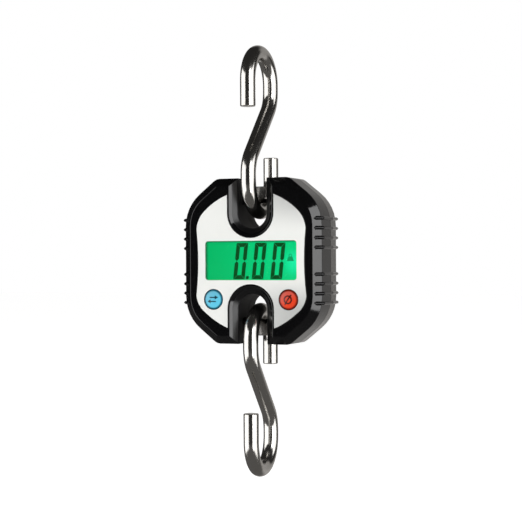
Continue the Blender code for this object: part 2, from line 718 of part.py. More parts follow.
def make_load_cell():
    """A one-piece steel frame: a bar for each hook, joined by a thin neck that bends under load."""
    neck = CELL_NECK_HALF_WIDTH
    right = [
        (CELL_HALF_WIDTH, -CELL_HALF_HEIGHT), (CELL_HALF_WIDTH, -13.5 * MM),
        (neck + 2 * MM, -9.5 * MM), (neck, -7.0 * MM), (neck, 7.0 * MM), (neck + 2 * MM, 9.5 * MM),
        (CELL_HALF_WIDTH, 13.5 * MM), (CELL_HALF_WIDTH, CELL_HALF_HEIGHT),
    ]
    holes = []
    for end in SIDES:
        half_ring = arc((0, PASSAGE_CENTRE_Z), CELL_WINDOW_RADIUS, pi, 2 * pi, 14)
        top = [(CELL_WINDOW_RADIUS, CELL_BAR_BOTTOM), (-CELL_WINDOW_RADIUS, CELL_BAR_BOTTOM)]
        holes.append([(x, end * z) for x, z in half_ring + top])
    holes += [circle((side * CELL_SCREW_X, CELL_SCREW_Z), 1.4 * MM, 12) for side in SIDES]
    cell = prism("load_cell", [mirrored_x(right)] + holes, CELL_FRONT, CELL_BACK, POLISHED_STEEL)

    # The bars' edges are rounded where the hooks bear on them.
    reach = 1.0 * MM
    round_y = CELL_BACK - CELL_BAR_ROUNDING
    round_z = CELL_BAR_BOTTOM + CELL_BAR_ROUNDING
    corner = arc((round_y, round_z), CELL_BAR_ROUNDING, -pi / 2, 0, 5)
    corner += [(CELL_BACK + reach, round_z), (CELL_BACK + reach, CELL_BAR_BOTTOM - reach),
               (round_y, CELL_BAR_BOTTOM - reach)]
    for depth in SIDES:
        for end in SIDES:
            outline = [(depth * y, end * z) for y, z in corner]
            cut(cell, "rounding", prism("edge", [outline], -CELL_WINDOW_RADIUS, CELL_WINDOW_RADIUS, view=SIDE_VIEW))
    cut(
        cell, "neck",
        box("neck", (-CELL_HALF_WIDTH - MM, CELL_NECK_BACK, -12.5 * MM),
            (CELL_HALF_WIDTH + MM, CELL_BACK + MM, 12.5 * MM)),
    )
    gauge_front = CELL_NECK_BACK + GAP
    gauges = [
        box(f"strain_gauge_{word}", (side * 3.6 * MM - 2.4 * MM, gauge_front, -4.5 * MM),
            (side * 3.6 * MM + 2.4 * MM, gauge_front + GAP, 4.5 * MM), FOIL)
        for word, side in (("left", -1), ("right", 1))
    ]
    screws = [
        make_screw(f"load_cell_screw_{word}", side * CELL_SCREW_X, CELL_SCREW_Z,
                   (CELL_BACK + GAP, 5.9 * MM), -9.5 * MM, 2.2 * MM, 1.0 * MM)
        for word, side in (("left", -1), ("right", 1))
    ]
    return [cell] + gauges + screws


def smooth_route(points, steps=4):
    """Points on a smooth curve through a route's points, several to each stretch."""
    places = [Vector([value * MM for value in point]) for point in points]
    padded = [2 * places[0] - places[1]] + places + [2 * places[-1] - places[-2]]
    route = []
    for before, start, end, after in zip(padded, padded[1:], padded[2:], padded[3:]):
        for step in range(steps):
            t = step / steps
            route.append(
                0.5 * (2 * start + (end - before) * t + (2 * before - 5 * start + 4 * end - after) * t * t
                       + (3 * start - before - 3 * end + after) * t ** 3)
            )
    return route + [places[-1]]


def make_leads():
    """The strain gauges' lead and the two battery wires, soldered to the back of the board."""
    gauge_route = [(-6.4, -0.55, 0), (-9.5, -0.6, 0.6), (-12.5, -2.0, 1.2), (-15.0, -4.0, 1.6), (-16.5, -5.8, 1.6)]
    red_route = [(24.7, -1.3, BATTERY_Z / MM), (25.6, -2.6, 6.4), (28.0, -3.6, 7.4), (29.5, -5.8, 7.6)]
    black_route = [(24.7, -1.3, -BATTERY_Z / MM), (25.6, -2.6, -6.0), (28.0, -3.6, -6.6), (29.5, -5.8, -6.8)]
    return [
        wire("gauge_lead", smooth_route(gauge_route), 0.35 * MM, GREY_WIRE),
        wire("battery_wire_red", smooth_route(red_route), 0.5 * MM, RED_WIRE),
        wire("battery_wire_black", smooth_route(black_route), 0.5 * MM, BLACK_WIRE),
    ]


# ---------------------------------------------------------------- batteries and contacts

def make_batteries():
    pieces = []
    body_end = BATTERY_NUB_END - 0.8 * MM
    profile = [
        (0, BATTERY_NUB_END), (1.9 * MM, BATTERY_NUB_END), (1.9 * MM, body_end),
        (BATTERY_RADIUS - 0.5 * MM, body_end), (BATTERY_RADIUS, body_end - 0.5 * MM),
        (BATTERY_RADIUS, body_end - BATTERY_BODY_LENGTH + 0.5 * MM),
        (BATTERY_RADIUS - 0.5 * MM, body_end - BATTERY_BODY_LENGTH), (0, body_end - BATTERY_BODY_LENGTH),
    ]
    for number, side in ((1, 1), (2, -1)):
        centre = (0, BATTERY_Y, side * BATTERY_Z)
        pieces.append(turned(f"battery_{number}", profile, centre, (side, 0, 0), BATTERY_WRAP))

        spring_start = CONTACT_INNER_X - GAP - SPRING_WIRE_RADIUS
        spring_end = BATTERY_BODY_LENGTH - body_end + GAP + SPRING_WIRE_RADIUS
        count = SPRING_TURNS * 10
        coil = []
        for step in range(count + 1):
            angle = 2 * pi * step / 10
            x = spring_start + (spring_end - spring_start) * step / count
            coil.append((-side * x, BATTERY_Y + SPRING_RADIUS * cos(angle),
                         side * BATTERY_Z + SPRING_RADIUS * sin(angle)))
        pieces.append(wire(f"battery_spring_{number}", coil, SPRING_WIRE_RADIUS, SPRING_STEEL, 6))
    return pieces


def make_contacts():
    outer = CONTACT_INNER_X + CONTACT_THICKNESS
    low_y, high_y = 2.6 * MM, 10.9 * MM
    bridge = box("bridge_contact", (-outer, low_y, -9.6 * MM), (-CONTACT_INNER_X, high_y, 9.6 * MM), SPRING_STEEL)
    pieces = [bridge]
    for word, side in (("positive", 1), ("negative", -1)):
        middle = side * BATTERY_Z
        plate = box(
            f"{word}_contact", (CONTACT_INNER_X, low_y, middle - 4.0 * MM), (outer, high_y, middle + 4.0 * MM),
            SPRING_STEEL,
        )
        tail = box("tail", (CONTACT_INNER_X + 0.02 * MM, -0.7 * MM, middle - 1.0 * MM),
                   (outer - 0.02 * MM, low_y + 0.5 * MM, middle + 1.0 * MM))
        add(plate, "tail", tail)
        pieces.append(plate)
    return pieces


# ---------------------------------------------------------------- hooks

def hook_points(outer_tip):
    """The centre line of an S-hook above the case, from its outer tip to its inner tip; outer_tip is straight rod."""
    bend = HOOK_BEND_RADIUS
    outer_z = HOOK_PIVOT_Z + HOOK_BEND_SPACING
    blend_lower_z = HOOK_PIVOT_Z + HOOK_STRAIGHT
    blend_upper_z = outer_z - HOOK_STRAIGHT
    lean = asin(2 * bend / (blend_upper_z - blend_lower_z))
    points = [(-bend, outer_z - outer_tip), (-bend, outer_z - outer_tip / 2)]
    points += arc((0, outer_z), bend, pi, 0, 16)
    points += arc((0, blend_upper_z), bend, 0, -lean, 4)
    points += arc((0, blend_lower_z), bend, pi - lean, pi, 4)
    points += arc((0, HOOK_PIVOT_Z), bend, pi, 2 * pi, 16)
    points += [(bend, HOOK_PIVOT_Z + HOOK_INNER_TIP_RISE / 2), (bend, HOOK_PIVOT_Z + HOOK_INNER_TIP_RISE)]
    return [Vector((0, y, z)) for y, z in points]


def make_hooks():
    upper_points = hook_points(UPPER_HOOK_TIP)
    turn = Matrix.Rotation(LOWER_HOOK_TURN, 3, "Z")
    lower_points = [turn @ Vector((0, point.y, -point.z)) for point in hook_points(LOWER_HOOK_TIP)]
    upper = wire("upper_hook", upper_points, HOOK_ROD_RADIUS, POLISHED_STEEL, 12)
    lower = wire("lower_hook", lower_points, HOOK_ROD_RADIUS, POLISHED_STEEL, 12)
    return upper, lower


# ---------------------------------------------------------------- assembly

def joint_empty(name, place, parent=None):
    empty = bpy.data.objects.new(name, None)
    PARTS.objects.link(empty)
    empty.location = place
    if parent:
        attach([empty], parent)
    return empty


def attach(pieces, parent):
    """Hangs pieces from a parent and leaves them where they are."""
    bpy.context.view_layer.update()
    for piece in pieces:
        piece.parent = parent
        piece.matrix_parent_inverse = parent.matrix_world.inverted()
    bpy.context.view_layer.update()


def shade(obj):
    if obj.type == "MESH":
        obj.data.shade_smooth()
        obj.data.set_sharp_from_angle(angle=radians(30))


def build():
    upper_hook, lower_hook = make_hooks()
    hang_point = joint_empty("hang_point", (0, 0, HOOK_PIVOT_Z + HOOK_BEND_SPACING + HOOK_BEND_RADIUS))
    case_swing = joint_empty("case_swing", (0, 0, HOOK_PIVOT_Z), hang_point)
    lower_swing = joint_empty("lower_hook_swing", (0, 0, -HOOK_PIVOT_Z), case_swing)
    door_hinge = joint_empty("battery_door_hinge", DOOR_HINGE, case_swing)

    fixed = [make_front_case(), make_rear_case()] + make_display() + make_board() + make_load_cell()
    fixed += make_leads() + make_batteries() + make_contacts()
    for number, (x, z) in enumerate(four_corners(), 1):
        fixed.append(
            make_screw(f"case_screw_{number}", x, z, SCREW_HEAD_Y, -7.0 * MM, 2.6 * MM, SCREW_SHAFT_RADIUS)
        )
    for word, side, material in (("unit", -1, BLUE_BUTTON), ("tare", 1, RED_BUTTON)):
        press = joint_empty(f"{word}_button_press", (side * BUTTON_X, -15.0 * MM, BUTTON_Z), case_swing)
        moving, still = make_button(word, side, material)
        attach(moving, press)
        fixed += still

    attach([upper_hook], hang_point)
    attach([lower_hook], lower_swing)
    attach([make_battery_door()], door_hinge)
    attach(fixed, case_swing)
    for obj in PARTS.objects:
        shade(obj)


build()
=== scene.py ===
"""Looks of a digital hanging fish scale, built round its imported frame.

Metres, +Z up, display facing -Y. Every piece rides on the body that carries it.
"""

import json
from math import asin, cos, hypot, pi, radians, sin, tan

import bmesh
import bpy
from bpy.props import FloatProperty, FloatVectorProperty, PointerProperty
from mathutils import Matrix, Vector

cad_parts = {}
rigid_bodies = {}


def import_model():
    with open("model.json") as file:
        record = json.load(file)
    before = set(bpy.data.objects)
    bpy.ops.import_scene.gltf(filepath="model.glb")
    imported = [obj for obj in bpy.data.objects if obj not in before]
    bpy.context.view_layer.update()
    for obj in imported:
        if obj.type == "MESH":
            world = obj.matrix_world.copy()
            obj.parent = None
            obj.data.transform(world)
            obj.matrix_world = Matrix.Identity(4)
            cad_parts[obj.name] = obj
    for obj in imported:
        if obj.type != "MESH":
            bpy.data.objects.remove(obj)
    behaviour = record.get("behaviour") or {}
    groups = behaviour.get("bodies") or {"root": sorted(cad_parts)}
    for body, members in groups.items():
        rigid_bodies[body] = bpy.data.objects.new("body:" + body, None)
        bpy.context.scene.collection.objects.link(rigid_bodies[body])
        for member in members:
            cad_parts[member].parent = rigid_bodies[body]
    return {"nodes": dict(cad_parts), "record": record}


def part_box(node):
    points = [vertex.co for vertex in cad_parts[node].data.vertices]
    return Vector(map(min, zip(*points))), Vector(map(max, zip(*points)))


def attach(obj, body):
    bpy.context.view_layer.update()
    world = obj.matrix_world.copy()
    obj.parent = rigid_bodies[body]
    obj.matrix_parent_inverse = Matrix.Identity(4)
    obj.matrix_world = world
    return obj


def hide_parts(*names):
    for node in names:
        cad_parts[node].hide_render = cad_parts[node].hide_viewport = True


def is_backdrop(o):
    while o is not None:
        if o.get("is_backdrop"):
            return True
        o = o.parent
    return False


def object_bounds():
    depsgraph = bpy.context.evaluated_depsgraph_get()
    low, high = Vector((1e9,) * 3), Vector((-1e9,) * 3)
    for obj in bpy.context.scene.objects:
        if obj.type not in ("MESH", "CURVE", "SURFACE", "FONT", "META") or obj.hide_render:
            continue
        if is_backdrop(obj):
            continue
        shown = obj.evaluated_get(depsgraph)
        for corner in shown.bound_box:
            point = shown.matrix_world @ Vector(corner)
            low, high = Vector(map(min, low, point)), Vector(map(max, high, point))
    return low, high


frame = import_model()

bl_info = {
    "name": "Hanging Fish Scale",
    "version": (1, 0, 0),
    "blender": (4, 5, 0),
    "location": "View3D > Sidebar > Fish Scale",
    "description": "Finishes every piece of a digital hanging scale and sets up its studio",
    "category": "Object",
}

MM = 0.001
BUTTONS = ("unit", "tare")
ALL_ROUND = 48
WELD = 0.04 * MM
RIB_FLOOR = 35.2 * MM
RIBS_END = 23 * MM
PASSAGE_REACH = 8.3 * MM
BEVEL_REACH = 10.6 * MM
PASSAGE_CENTRE = 25.1 * MM
SEGMENT_GAP = 0.07 * MM
SEGMENT_DEPTH = 0.06 * MM
WHITE = (1.0, 1.0, 1.0)
BLACK = (0.0, 0.0, 0.0)


def linear(red, green, blue):
    """A colour picked on a screen, as the linear values that a shader takes."""
    return tuple(
        channel / 12.92 if channel <= 0.04045 else ((channel + 0.055) / 1.055) ** 2.4
        for channel in (red / 255, green / 255, blue / 255)
    )


# ---------------------------------------------------------------- settings

def length(name, description, default, least=0.0):
    return FloatProperty(name=name, description=description, default=default, min=least, subtype="DISTANCE",
                         unit="LENGTH")


def turn(name, description, default):
    return FloatProperty(name=name, description=description, default=radians(default), subtype="ANGLE",
                         unit="ROTATION")


def colour(name, description, *screen_values):
    return FloatVectorProperty(name=name, description=description, default=linear(*screen_values), size=3,
                               min=0, max=1, subtype="COLOR")


def brightness(name, description, default):
    return FloatProperty(name=name, description=description, default=default, min=0)


def fraction(name, description, default):
    return FloatProperty(name=name, description=description, default=default, min=0, max=1, subtype="FACTOR")


class CaseSettings(bpy.types.PropertyGroup):
    edge: length("Edge rounding", "How far the moulded edges are rounded", 0.25 * MM)
    rib_slope: length("Rib slope", "Width of the sloping flanks of the grip ribs", 0.6 * MM)
    rim: length("Rim", "How far the rear shell's rim lies behind the middle of the case", 3.15 * MM)
    seam: length("Seam", "How far the rear shell's rim is drawn forward to meet the front shell", 0.28 * MM)
    front: colour("Front plastic", "Gloss plastic of the front shell", 7, 7, 8)
    rear: colour("Rear plastic", "Fine-textured plastic of the rear shell and the battery door", 34, 32, 30)


class HookSettings(bpy.types.PropertyGroup):
    bend: length("Bend radius", "From the middle of a bend to the middle of the rod", 16 * MM)
    straight: length("Straight", "Straight rod between each bend and the slanting leg", 3 * MM)
    upper_tip: length("Upper open end", "Straight rod past the upper hook's open bend", 13.8 * MM)
    lower_tip: length("Lower open end", "Straight rod past the lower hook's open bend", 15 * MM)
    inner_tip: length("Inner end", "Straight rod past the bend inside the case", 13.4 * MM)
    tip_rounding: length("Tip rounding", "Rounding at the cut ends of the rod", 0.6 * MM)
    lower_turn: turn("Lower hook turn", "How far the lower hook is turned about the vertical", 3)
    steel: colour("Steel", "Polished steel of the rod", 208, 207, 205)
    dullness: fraction("Dullness", "Roughness of the polish", 0.18)


class LabelSettings(bpy.types.PropertyGroup):
    edge: length("Edge rounding", "Rounding of the label's cut edge", 0.12 * MM)
    # The light and shaded colours are the two ends of a painted shade across the label's face.
    light: colour("Light side", "Satin face on the unit button's side", 248, 249, 245)
    shaded: colour("Shaded side", "Satin face towards the ends of the tare button's side", 190, 191, 189)


class DisplaySettings(bpy.types.PropertyGroup):
    digit_height: length("Digit height", "Height of one digit", 18.9 * MM)
    digit_width: length("Digit width", "Width of one digit before it is slanted", 6.5 * MM)
    digit_pitch: length("Digit pitch", "From one digit to the next", 10.45 * MM)
    first_digit: length("First digit", "Place of the first lit digit across the display", -6 * MM, -25 * MM)
    stroke: length("Stroke", "Width of one segment", 2.1 * MM)
    slant: turn("Slant", "How far the digits lean", 6.5)
    dim: colour("Dim end", "Back light at the far end of the light guide", 0, 196, 108)
    bright: colour("Bright end", "Back light beside the lamps", 4, 226, 138)
    segment: colour("Segment", "A dark segment with the light behind it", 0, 80, 30)
    sign: colour("Unit sign", "The fainter sign beside the digits", 6, 168, 100)
    glow: brightness("Glow", "Strength of the back light", 0.86)


class ButtonSettings(bpy.types.PropertyGroup):
    radius: length("Radius", "Radius of the cap where it stands out of the label", 5.2 * MM)
    flange: length("Flange radius", "Radius of the flange behind the label", 6.4 * MM)
    corner: length("Corner", "Rounding between the cap's side and its face", 0.55 * MM)
    dome: length("Dome", "How far the cap rises in the middle", 1 * MM)
    # Each rim colour gives the ink of its cap's sign and also the painted shade round the cap's edge; each
    # face colour is paled towards the upper left by a painted highlight.
    unit: colour("Unit button", "Face of the blue cap", 92, 198, 228)
    unit_rim: colour("Unit button rim", "Edge and sign of the blue cap", 28, 92, 112)
    tare: colour("Tare button", "Face of the orange-red cap", 222, 56, 6)
    tare_rim: colour("Tare button rim", "Edge and sign of the orange-red cap", 112, 28, 14)


class StudioSettings(bpy.types.PropertyGroup):
    azimuth: turn("Camera azimuth", "How far the camera stands to the right of the display's middle", 22)
    roll: turn("Camera roll", "How far the camera is tipped", 0.33)
    aside: length("Camera aside", "How far the camera stands to the right of its line to the case", 0.37 * MM)
    distance: length("Camera distance", "From the camera to the middle of the case", 0.742)
    lens: FloatProperty(name="Lens", description="Focal length", default=96.6, min=1, unit="CAMERA")
    light_distance: length("Light distance", "From each soft box to the middle of the case", 1.3)
    key: brightness("Key", "Brightness of the narrow soft box on the right", 4.6)
    fill: brightness("Fill", "Brightness of the wide soft boxes", 1.8)
    floor_drop: length("Floor drop", "From the lowest point of the object to the floor", 0.05)


class FishScaleSettings(bpy.types.PropertyGroup):
    case: PointerProperty(type=CaseSettings)
    hooks: PointerProperty(type=HookSettings)
    label: PointerProperty(type=LabelSettings)
    display: PointerProperty(type=DisplaySettings)
    buttons: PointerProperty(type=ButtonSettings)
    studio: PointerProperty(type=StudioSettings)


# ---------------------------------------------------------------- node trees

class Value:
    """A socket that Python's own maths signs work on."""

    def __init__(self, nodes, socket):
        self.nodes = nodes
        self.socket = socket

    def __add__(self, other):
        return self.nodes.maths("ADD", self, other)

    def __radd__(self, other):
        return self.nodes.maths("ADD", other, self)

    def __sub__(self, other):
        return self.nodes.maths("SUBTRACT", self, other)

    def __rsub__(self, other):
        return self.nodes.maths("SUBTRACT", other, self)

    def __mul__(self, other):
        return self.nodes.maths("MULTIPLY", self, other)

    def __rmul__(self, other):
        return self.nodes.maths("MULTIPLY", other, self)

    def __truediv__(self, other):
        return self.nodes.maths("DIVIDE", self, other)

    def __pow__(self, other):
        return self.nodes.maths("POWER", self, other)

    def __abs__(self):
        return self.nodes.maths("ABSOLUTE", self)


class Nodes:
    """The node tree of one material or of the world."""

    def __init__(self, owner):
        owner.use_nodes = True
        self.tree = owner.node_tree
        self.tree.nodes.clear()

    def add(self, kind, settings, inputs, output=0):
        """One node: its settings first, then the value or link of each socket."""
        node = self.tree.nodes.new(kind)
        for name, value in settings.items():
            setattr(node, name, value)
        for name, value in inputs.items():
            if isinstance(value, Value):
                self.tree.links.new(value.socket, node.inputs[name])
            elif hasattr(value, "__len__") and len(value) == 3 and len(node.inputs[name].default_value) == 4:
                node.inputs[name].default_value = (*value, 1)
            else:
                node.inputs[name].default_value = value
        return Value(self, node.outputs[output]) if node.outputs else None

    def maths(self, operation, *values):
        return self.add("ShaderNodeMath", {"operation": operation}, dict(enumerate(values)))

    def mix(self, amount, first, second):
        """A colour between two colours."""
        settings = {"data_type": "RGBA", "clamp_factor": True}
        return self.add("ShaderNodeMix", settings, {0: amount, 6: first, 7: second}, 2)

    def smooth(self, value, low, high, start=0.0, end=1.0):
        """Eases from start to end as the value goes from low to high."""
        inputs = {"Value": value, "From Min": low, "From Max": high, "To Min": start, "To Max": end}
        return self.add("ShaderNodeMapRange", {"interpolation_type": "SMOOTHSTEP"}, inputs)

    def between(self, value, low, high, soft):
        """1 where the value lies between low and high, easing to 0 over a soft edge."""
        return self.smooth(value, low - soft, low + soft) * (1 - self.smooth(value, high - soft, high + soft))

    def place(self, output="Object"):
        return self.add("ShaderNodeTexCoord", {}, {}, output)

    def axis(self, vector, name):
        return self.add("ShaderNodeSeparateXYZ", {}, {"Vector": vector}, name)

    def noise(self, vector, grain, detail=2.0, stretch=(1, 1, 1)):
        """Noise whose patches are about as wide as the grain, longer along an axis stretched below 1."""
        moved = self.add("ShaderNodeMapping", {}, {"Vector": vector, "Scale": stretch})
        return self.add("ShaderNodeTexNoise", {}, {"Vector": moved, "Scale": 1 / grain, "Detail": detail})

    def bump(self, height, depth, strength):
        return self.add("ShaderNodeBump", {}, {"Height": height, "Distance": depth, "Strength": strength})

    def stripes(self, value, pitch):
        """Rises from 0 to 0.5 and falls back to 0 within each pitch."""
        return self.maths("PINGPONG", value / pitch, 0.5)

    def surface(self, **inputs):
        """The principled shader at the tree's output. Socket names are written with underscores."""
        sockets = {name.replace("_", " "): value for name, value in inputs.items()}
        shader = self.add("ShaderNodeBsdfPrincipled", {}, sockets)
        self.add("ShaderNodeOutputMaterial", {}, {"Surface": shader})


def finish(name):
    """A new material, its nodes and the place on the object that its patterns follow."""
    material = bpy.data.materials.new(name)
    nodes = Nodes(material)
    return material, nodes, nodes.place()


def gloss_plastic(name, base):
    """Moulded gloss plastic: flow mottling, handling haze and a wavy skin, duller at the hook passages."""
    material, nodes, place = finish(name)
    mottle = nodes.noise(place, 9 * MM, 3)
    haze = nodes.smooth(nodes.noise(place, 4 * MM, 5), 0.45, 0.75)
    scuffs = nodes.smooth(nodes.noise(place, 0.5 * MM, 2, (1, 1, 0.12)), 0.68, 0.8) * haze
    waves = nodes.noise(place, 2.2 * MM, 1)
    inside = near_passages(nodes, place, PASSAGE_REACH)
    brim = near_passages(nodes, place, BEVEL_REACH)
    nodes.surface(
        Base_Color=nodes.mix(mottle * 0.5 + scuffs * 0.3, base, [part * 1.7 + 0.001 for part in base]),
        Roughness=nodes.maths("MAXIMUM", 0.09 + haze * 0.05 + scuffs * 0.14, inside * 0.3 + brim * 0.3),
        Normal=nodes.bump(waves, 0.02 * MM, 0.3),
        IOR=1.5,
    )
    return material


def near_passages(nodes, place, reach):
    """1 within reach of the middle lines of the two hook passages, 0 beyond it."""
    across = nodes.axis(place, "X")
    past = nodes.maths("MINIMUM", abs(nodes.axis(place, "Z")) - PASSAGE_CENTRE, 0)
    away = (across ** 2 + past ** 2) ** 0.5
    return 1 - nodes.smooth(away, reach, reach + 0.3 * MM)


def textured_plastic(name, base):
    """Plastic from a spark-textured mould: satin behind, polished on the side walls, matt in the passages."""
    material, nodes, place = finish(name)
    grain = nodes.noise(place, 0.28 * MM, 3)
    mottle = nodes.noise(place, 7 * MM, 3)
    rubbed = nodes.smooth(nodes.noise(place, 5 * MM, 4), 0.5, 0.72)
    back = nodes.smooth(nodes.axis(place, "Y"), 11.4 * MM, 12.4 * MM)
    inside = near_passages(nodes, place, PASSAGE_REACH)
    polish = (1 - back) * (1 - inside)
    satin = 0.4 + grain * 0.12 - rubbed * 0.08
    nodes.surface(
        Base_Color=nodes.mix(mottle * 0.6 + grain * 0.3, base, [part * 1.5 for part in base]),
        Roughness=satin - polish * 0.24 + inside * 0.2,
        Normal=nodes.bump(grain * (0.15 + back), 0.03 * MM, 0.6),
        IOR=1.5,
        Coat_Weight=polish,
        Coat_Roughness=0.1,
    )
    return material


def bright_steel(name, base, roughness, stretch=(1, 1, 1), grain=0.25 * MM, depth=0.004 * MM):
    """Steel with fine polishing lines along the least stretched axis, cut in where they have a depth."""
    material, nodes, place = finish(name)
    lines = nodes.noise(place, grain, 3, stretch)
    clouds = nodes.noise(place, 6 * MM, 3)
    warm = [base[0] * 0.9, base[1] * 0.86, base[2] * 0.8]
    relief = {"Normal": nodes.bump(lines, depth, 0.3)} if depth else {}
    nodes.surface(
        Base_Color=nodes.mix(clouds * 0.6 + lines * 0.25, base, warm),
        Roughness=roughness * (0.8 + lines * 0.3 + nodes.smooth(clouds, 0.5, 0.7) * 0.2),
        Metallic=1.0,
        **relief,
    )
    return material


def moulded_cover(name, base, roughness):
    """Plain soft plastic, as on a wire or a switch's stem."""
    material, nodes, place = finish(name)
    marks = nodes.noise(place, 0.6 * MM, 3)
    nodes.surface(
        Base_Color=nodes.mix(marks, base, [part * 0.6 for part in base]),
        Roughness=roughness + marks * 0.15,
        Normal=nodes.bump(marks, 0.02 * MM, 0.3),
    )
    return material


# ---------------------------------------------------------------- modelling

def only(*objects):
    """Selects these objects and nothing else; the first is the active one."""
    if bpy.context.object and bpy.context.object.mode != "OBJECT":
        bpy.ops.object.mode_set(mode="OBJECT")
    for obj in bpy.context.view_layer.objects:
        obj.select_set(obj in objects)
    bpy.context.view_layer.objects.active = objects[0] if objects else None


def edit(obj):
    only(obj)
    bpy.ops.object.mode_set(mode="EDIT")
    bpy.ops.mesh.select_mode(type="FACE")


def leave_edit():
    bpy.ops.object.mode_set(mode="OBJECT")


def select_all():
    """In edit mode, selects the whole mesh."""
    bpy.ops.mesh.select_all(action="SELECT")


def draw_out(shift):
    """In edit mode, extrudes what is selected."""
    bpy.ops.mesh.extrude_region_move(TRANSFORM_OT_translate={"value": shift})


def resize(value, centre):
    """In edit mode, resizes what is selected about a point."""
    bpy.ops.transform.resize(value=value, center_override=centre)


def face_outwards():
    """In edit mode, turns every face of a closed mesh outwards."""
    select_all()
    bpy.ops.mesh.normals_make_consistent(inside=False)


def pick(obj, kind, wanted):
    """In edit mode, selects only the faces or edges that the test wants."""
    bpy.ops.mesh.select_mode(type=kind)
    bpy.ops.mesh.select_all(action="DESELECT")
    shape = bmesh.from_edit_mesh(obj.data)
    for element in shape.faces if kind == "FACE" else shape.edges:
        if wanted(element):
            element.select_set(True)
    bmesh.update_edit_mesh(obj.data)


def lies_at(face, axis, place):
    return abs(getattr(face.calc_center_median(), axis) - place) < 0.01 * MM


def named(obj, name):
    obj.name = name
    obj.data.name = name
    return obj


def settle(obj):
    """Puts the object's place, turn and size into its mesh."""
    only(obj)
    bpy.ops.object.transform_apply(location=True, rotation=True, scale=True)


def apply_modifiers(obj):
    only(obj)
    for modifier in list(obj.modifiers):
        bpy.ops.object.modifier_apply(modifier=modifier.name)


def box_at(place, size):
    """A box to be shaped further, with its size in its mesh."""
    bpy.ops.mesh.primitive_cube_add(size=1, location=place)
    obj = bpy.context.object
    obj.scale = size
    settle(obj)
    return obj


def bevel(obj, width, segments=2, angle=28, clamp=False):
    modifier = obj.modifiers.new("rounding", "BEVEL")
    modifier.width = width
    modifier.segments = segments
    modifier.limit_method = "ANGLE"
    modifier.angle_limit = radians(angle)
    modifier.use_clamp_overlap = clamp
    modifier.miter_outer = "MITER_ARC"
    apply_modifiers(obj)


def shade(obj, angle=40):
    """Smooth shading that leaves large flat faces flat."""
    only(obj)
    bpy.ops.object.shade_smooth_by_angle(angle=radians(angle))
    modifier = obj.modifiers.new("flat_faces", "WEIGHTED_NORMAL")
    modifier.weight = 100
    modifier.keep_sharp = True
    apply_modifiers(obj)


def hand_over(obj, body, material, slot, *nodes):
    """Gives a finished piece its material, its body and the frame's nodes that it stands for."""
    obj.data.materials.clear()
    obj.data.materials.append(material)
    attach(obj, body)
    if nodes:
        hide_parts(*nodes)
    only()


def dress(material, *nodes):
    """Puts a finish on the frame's own nodes."""
    for name in nodes:
        for slot in frame["nodes"][name].material_slots:
            slot.material = material


def body_of(node):
    bodies = frame["record"]["behaviour"]["bodies"]
    return next(body for body, members in bodies.items() if node in members)


def refined(node, name, material, slot, edge, segments=2, angle=28, clamp=False, shape=None):
    """A merged copy of a node, shaped further if need be, with its edges rounded, standing for that node."""
    obj = copy_of(frame["nodes"][node], name, (0, 0, 0))
    only(obj)
    bpy.ops.mesh.customdata_custom_splitnormals_clear()
    edit(obj)
    select_all()
    bpy.ops.mesh.remove_doubles(threshold=WELD)
    bpy.ops.mesh.dissolve_limited(angle_limit=radians(1))
    if shape:
        shape(obj)
    leave_edit()
    bevel(obj, edge, segments, angle, clamp)
    shade(obj)
    hand_over(obj, body_of(node), material, slot, node)
    return obj


def turned(name, rings, x, z, steps=ALL_ROUND):
    """A shape turned about an axis along Y: a disc drawn out from ring to ring, each (radius, y)."""
    radius, y = rings[0]
    bpy.ops.mesh.primitive_circle_add(vertices=steps, radius=radius, fill_type="NGON", location=(x, y, z),
                                      rotation=(pi / 2, 0, 0))
    obj = named(bpy.context.object, name)
    settle(obj)
    edit(obj)
    select_all()
    for next_radius, next_y in rings[1:]:
        draw_out((0, next_y - y, 0))
        ratio = next_radius / radius
        resize((ratio, 1, ratio), (x, next_y, z))
        radius, y = next_radius, next_y
    face_outwards()
    leave_edit()
    return obj


def joined(name, objects):
    only(*objects)
    bpy.ops.object.join()
    return named(bpy.context.object, name)


def copy_of(obj, name, shift):
    """A copy with a mesh of its own, moved by the shift."""
    twin = bpy.data.objects.new(name, obj.data.copy())
    twin.data.transform(Matrix.Translation(shift))
    bpy.context.scene.collection.objects.link(twin)
    return named(twin, name)


# ---------------------------------------------------------------- operators

class PieceOperator(bpy.types.Operator):
    """Shared by every operator of this file"""

    bl_options = {"REGISTER", "UNDO"}

    def settings(self, context):
        return context.scene.fish_scale


class FISHSCALE_OT_case(PieceOperator):
    """Round the edges of the front and rear shells and give them their plastics"""

    bl_idname = "fishscale.case"
    bl_label = "Case"

    def execute(self, context):
        case = self.settings(context).case
        front = gloss_plastic("case_front_gloss", case.front)
        rear = textured_plastic("case_rear_satin", case.rear)
        refined("front_case", "front_shell", front, "case_black", case.edge, shape=self.slope_ribs)
        refined("rear_case", "rear_shell", rear, "case_black", case.edge, shape=self.shape_rear)
        return {"FINISHED"}

    def shape_rear(self, shell):
        """Draws the rear shell's rim forward to meet the front shell, in edit mode, then slopes its ribs."""
        case = self.settings(bpy.context).case
        pick(shell, "FACE", lambda face: face.normal.y < -0.99 and lies_at(face, "y", case.rim))
        bpy.ops.transform.translate(value=(0, -case.seam, 0))
        self.slope_ribs(shell)

    def slope_ribs(self, shell):
        """Slopes the crests of the grip ribs, in edit mode."""
        case = self.settings(bpy.context).case
        pick(shell, "EDGE", self.on_crest)
        bpy.ops.mesh.bevel(offset=case.rib_slope, segments=1, affect="EDGES", offset_type="OFFSET")

    def on_crest(self, edge):
        """Along a rib's crest one face looks up or down and the other outwards."""
        if not edge.is_convex or min(abs(v.co.x) for v in edge.verts) < RIB_FLOOR:
            return False
        steep = [abs(face.normal.z) > 0.99 for face in edge.link_faces]
        return len(steep) == 2 and steep[0] != steep[1] and max(abs(v.co.z) for v in edge.verts) < RIBS_END


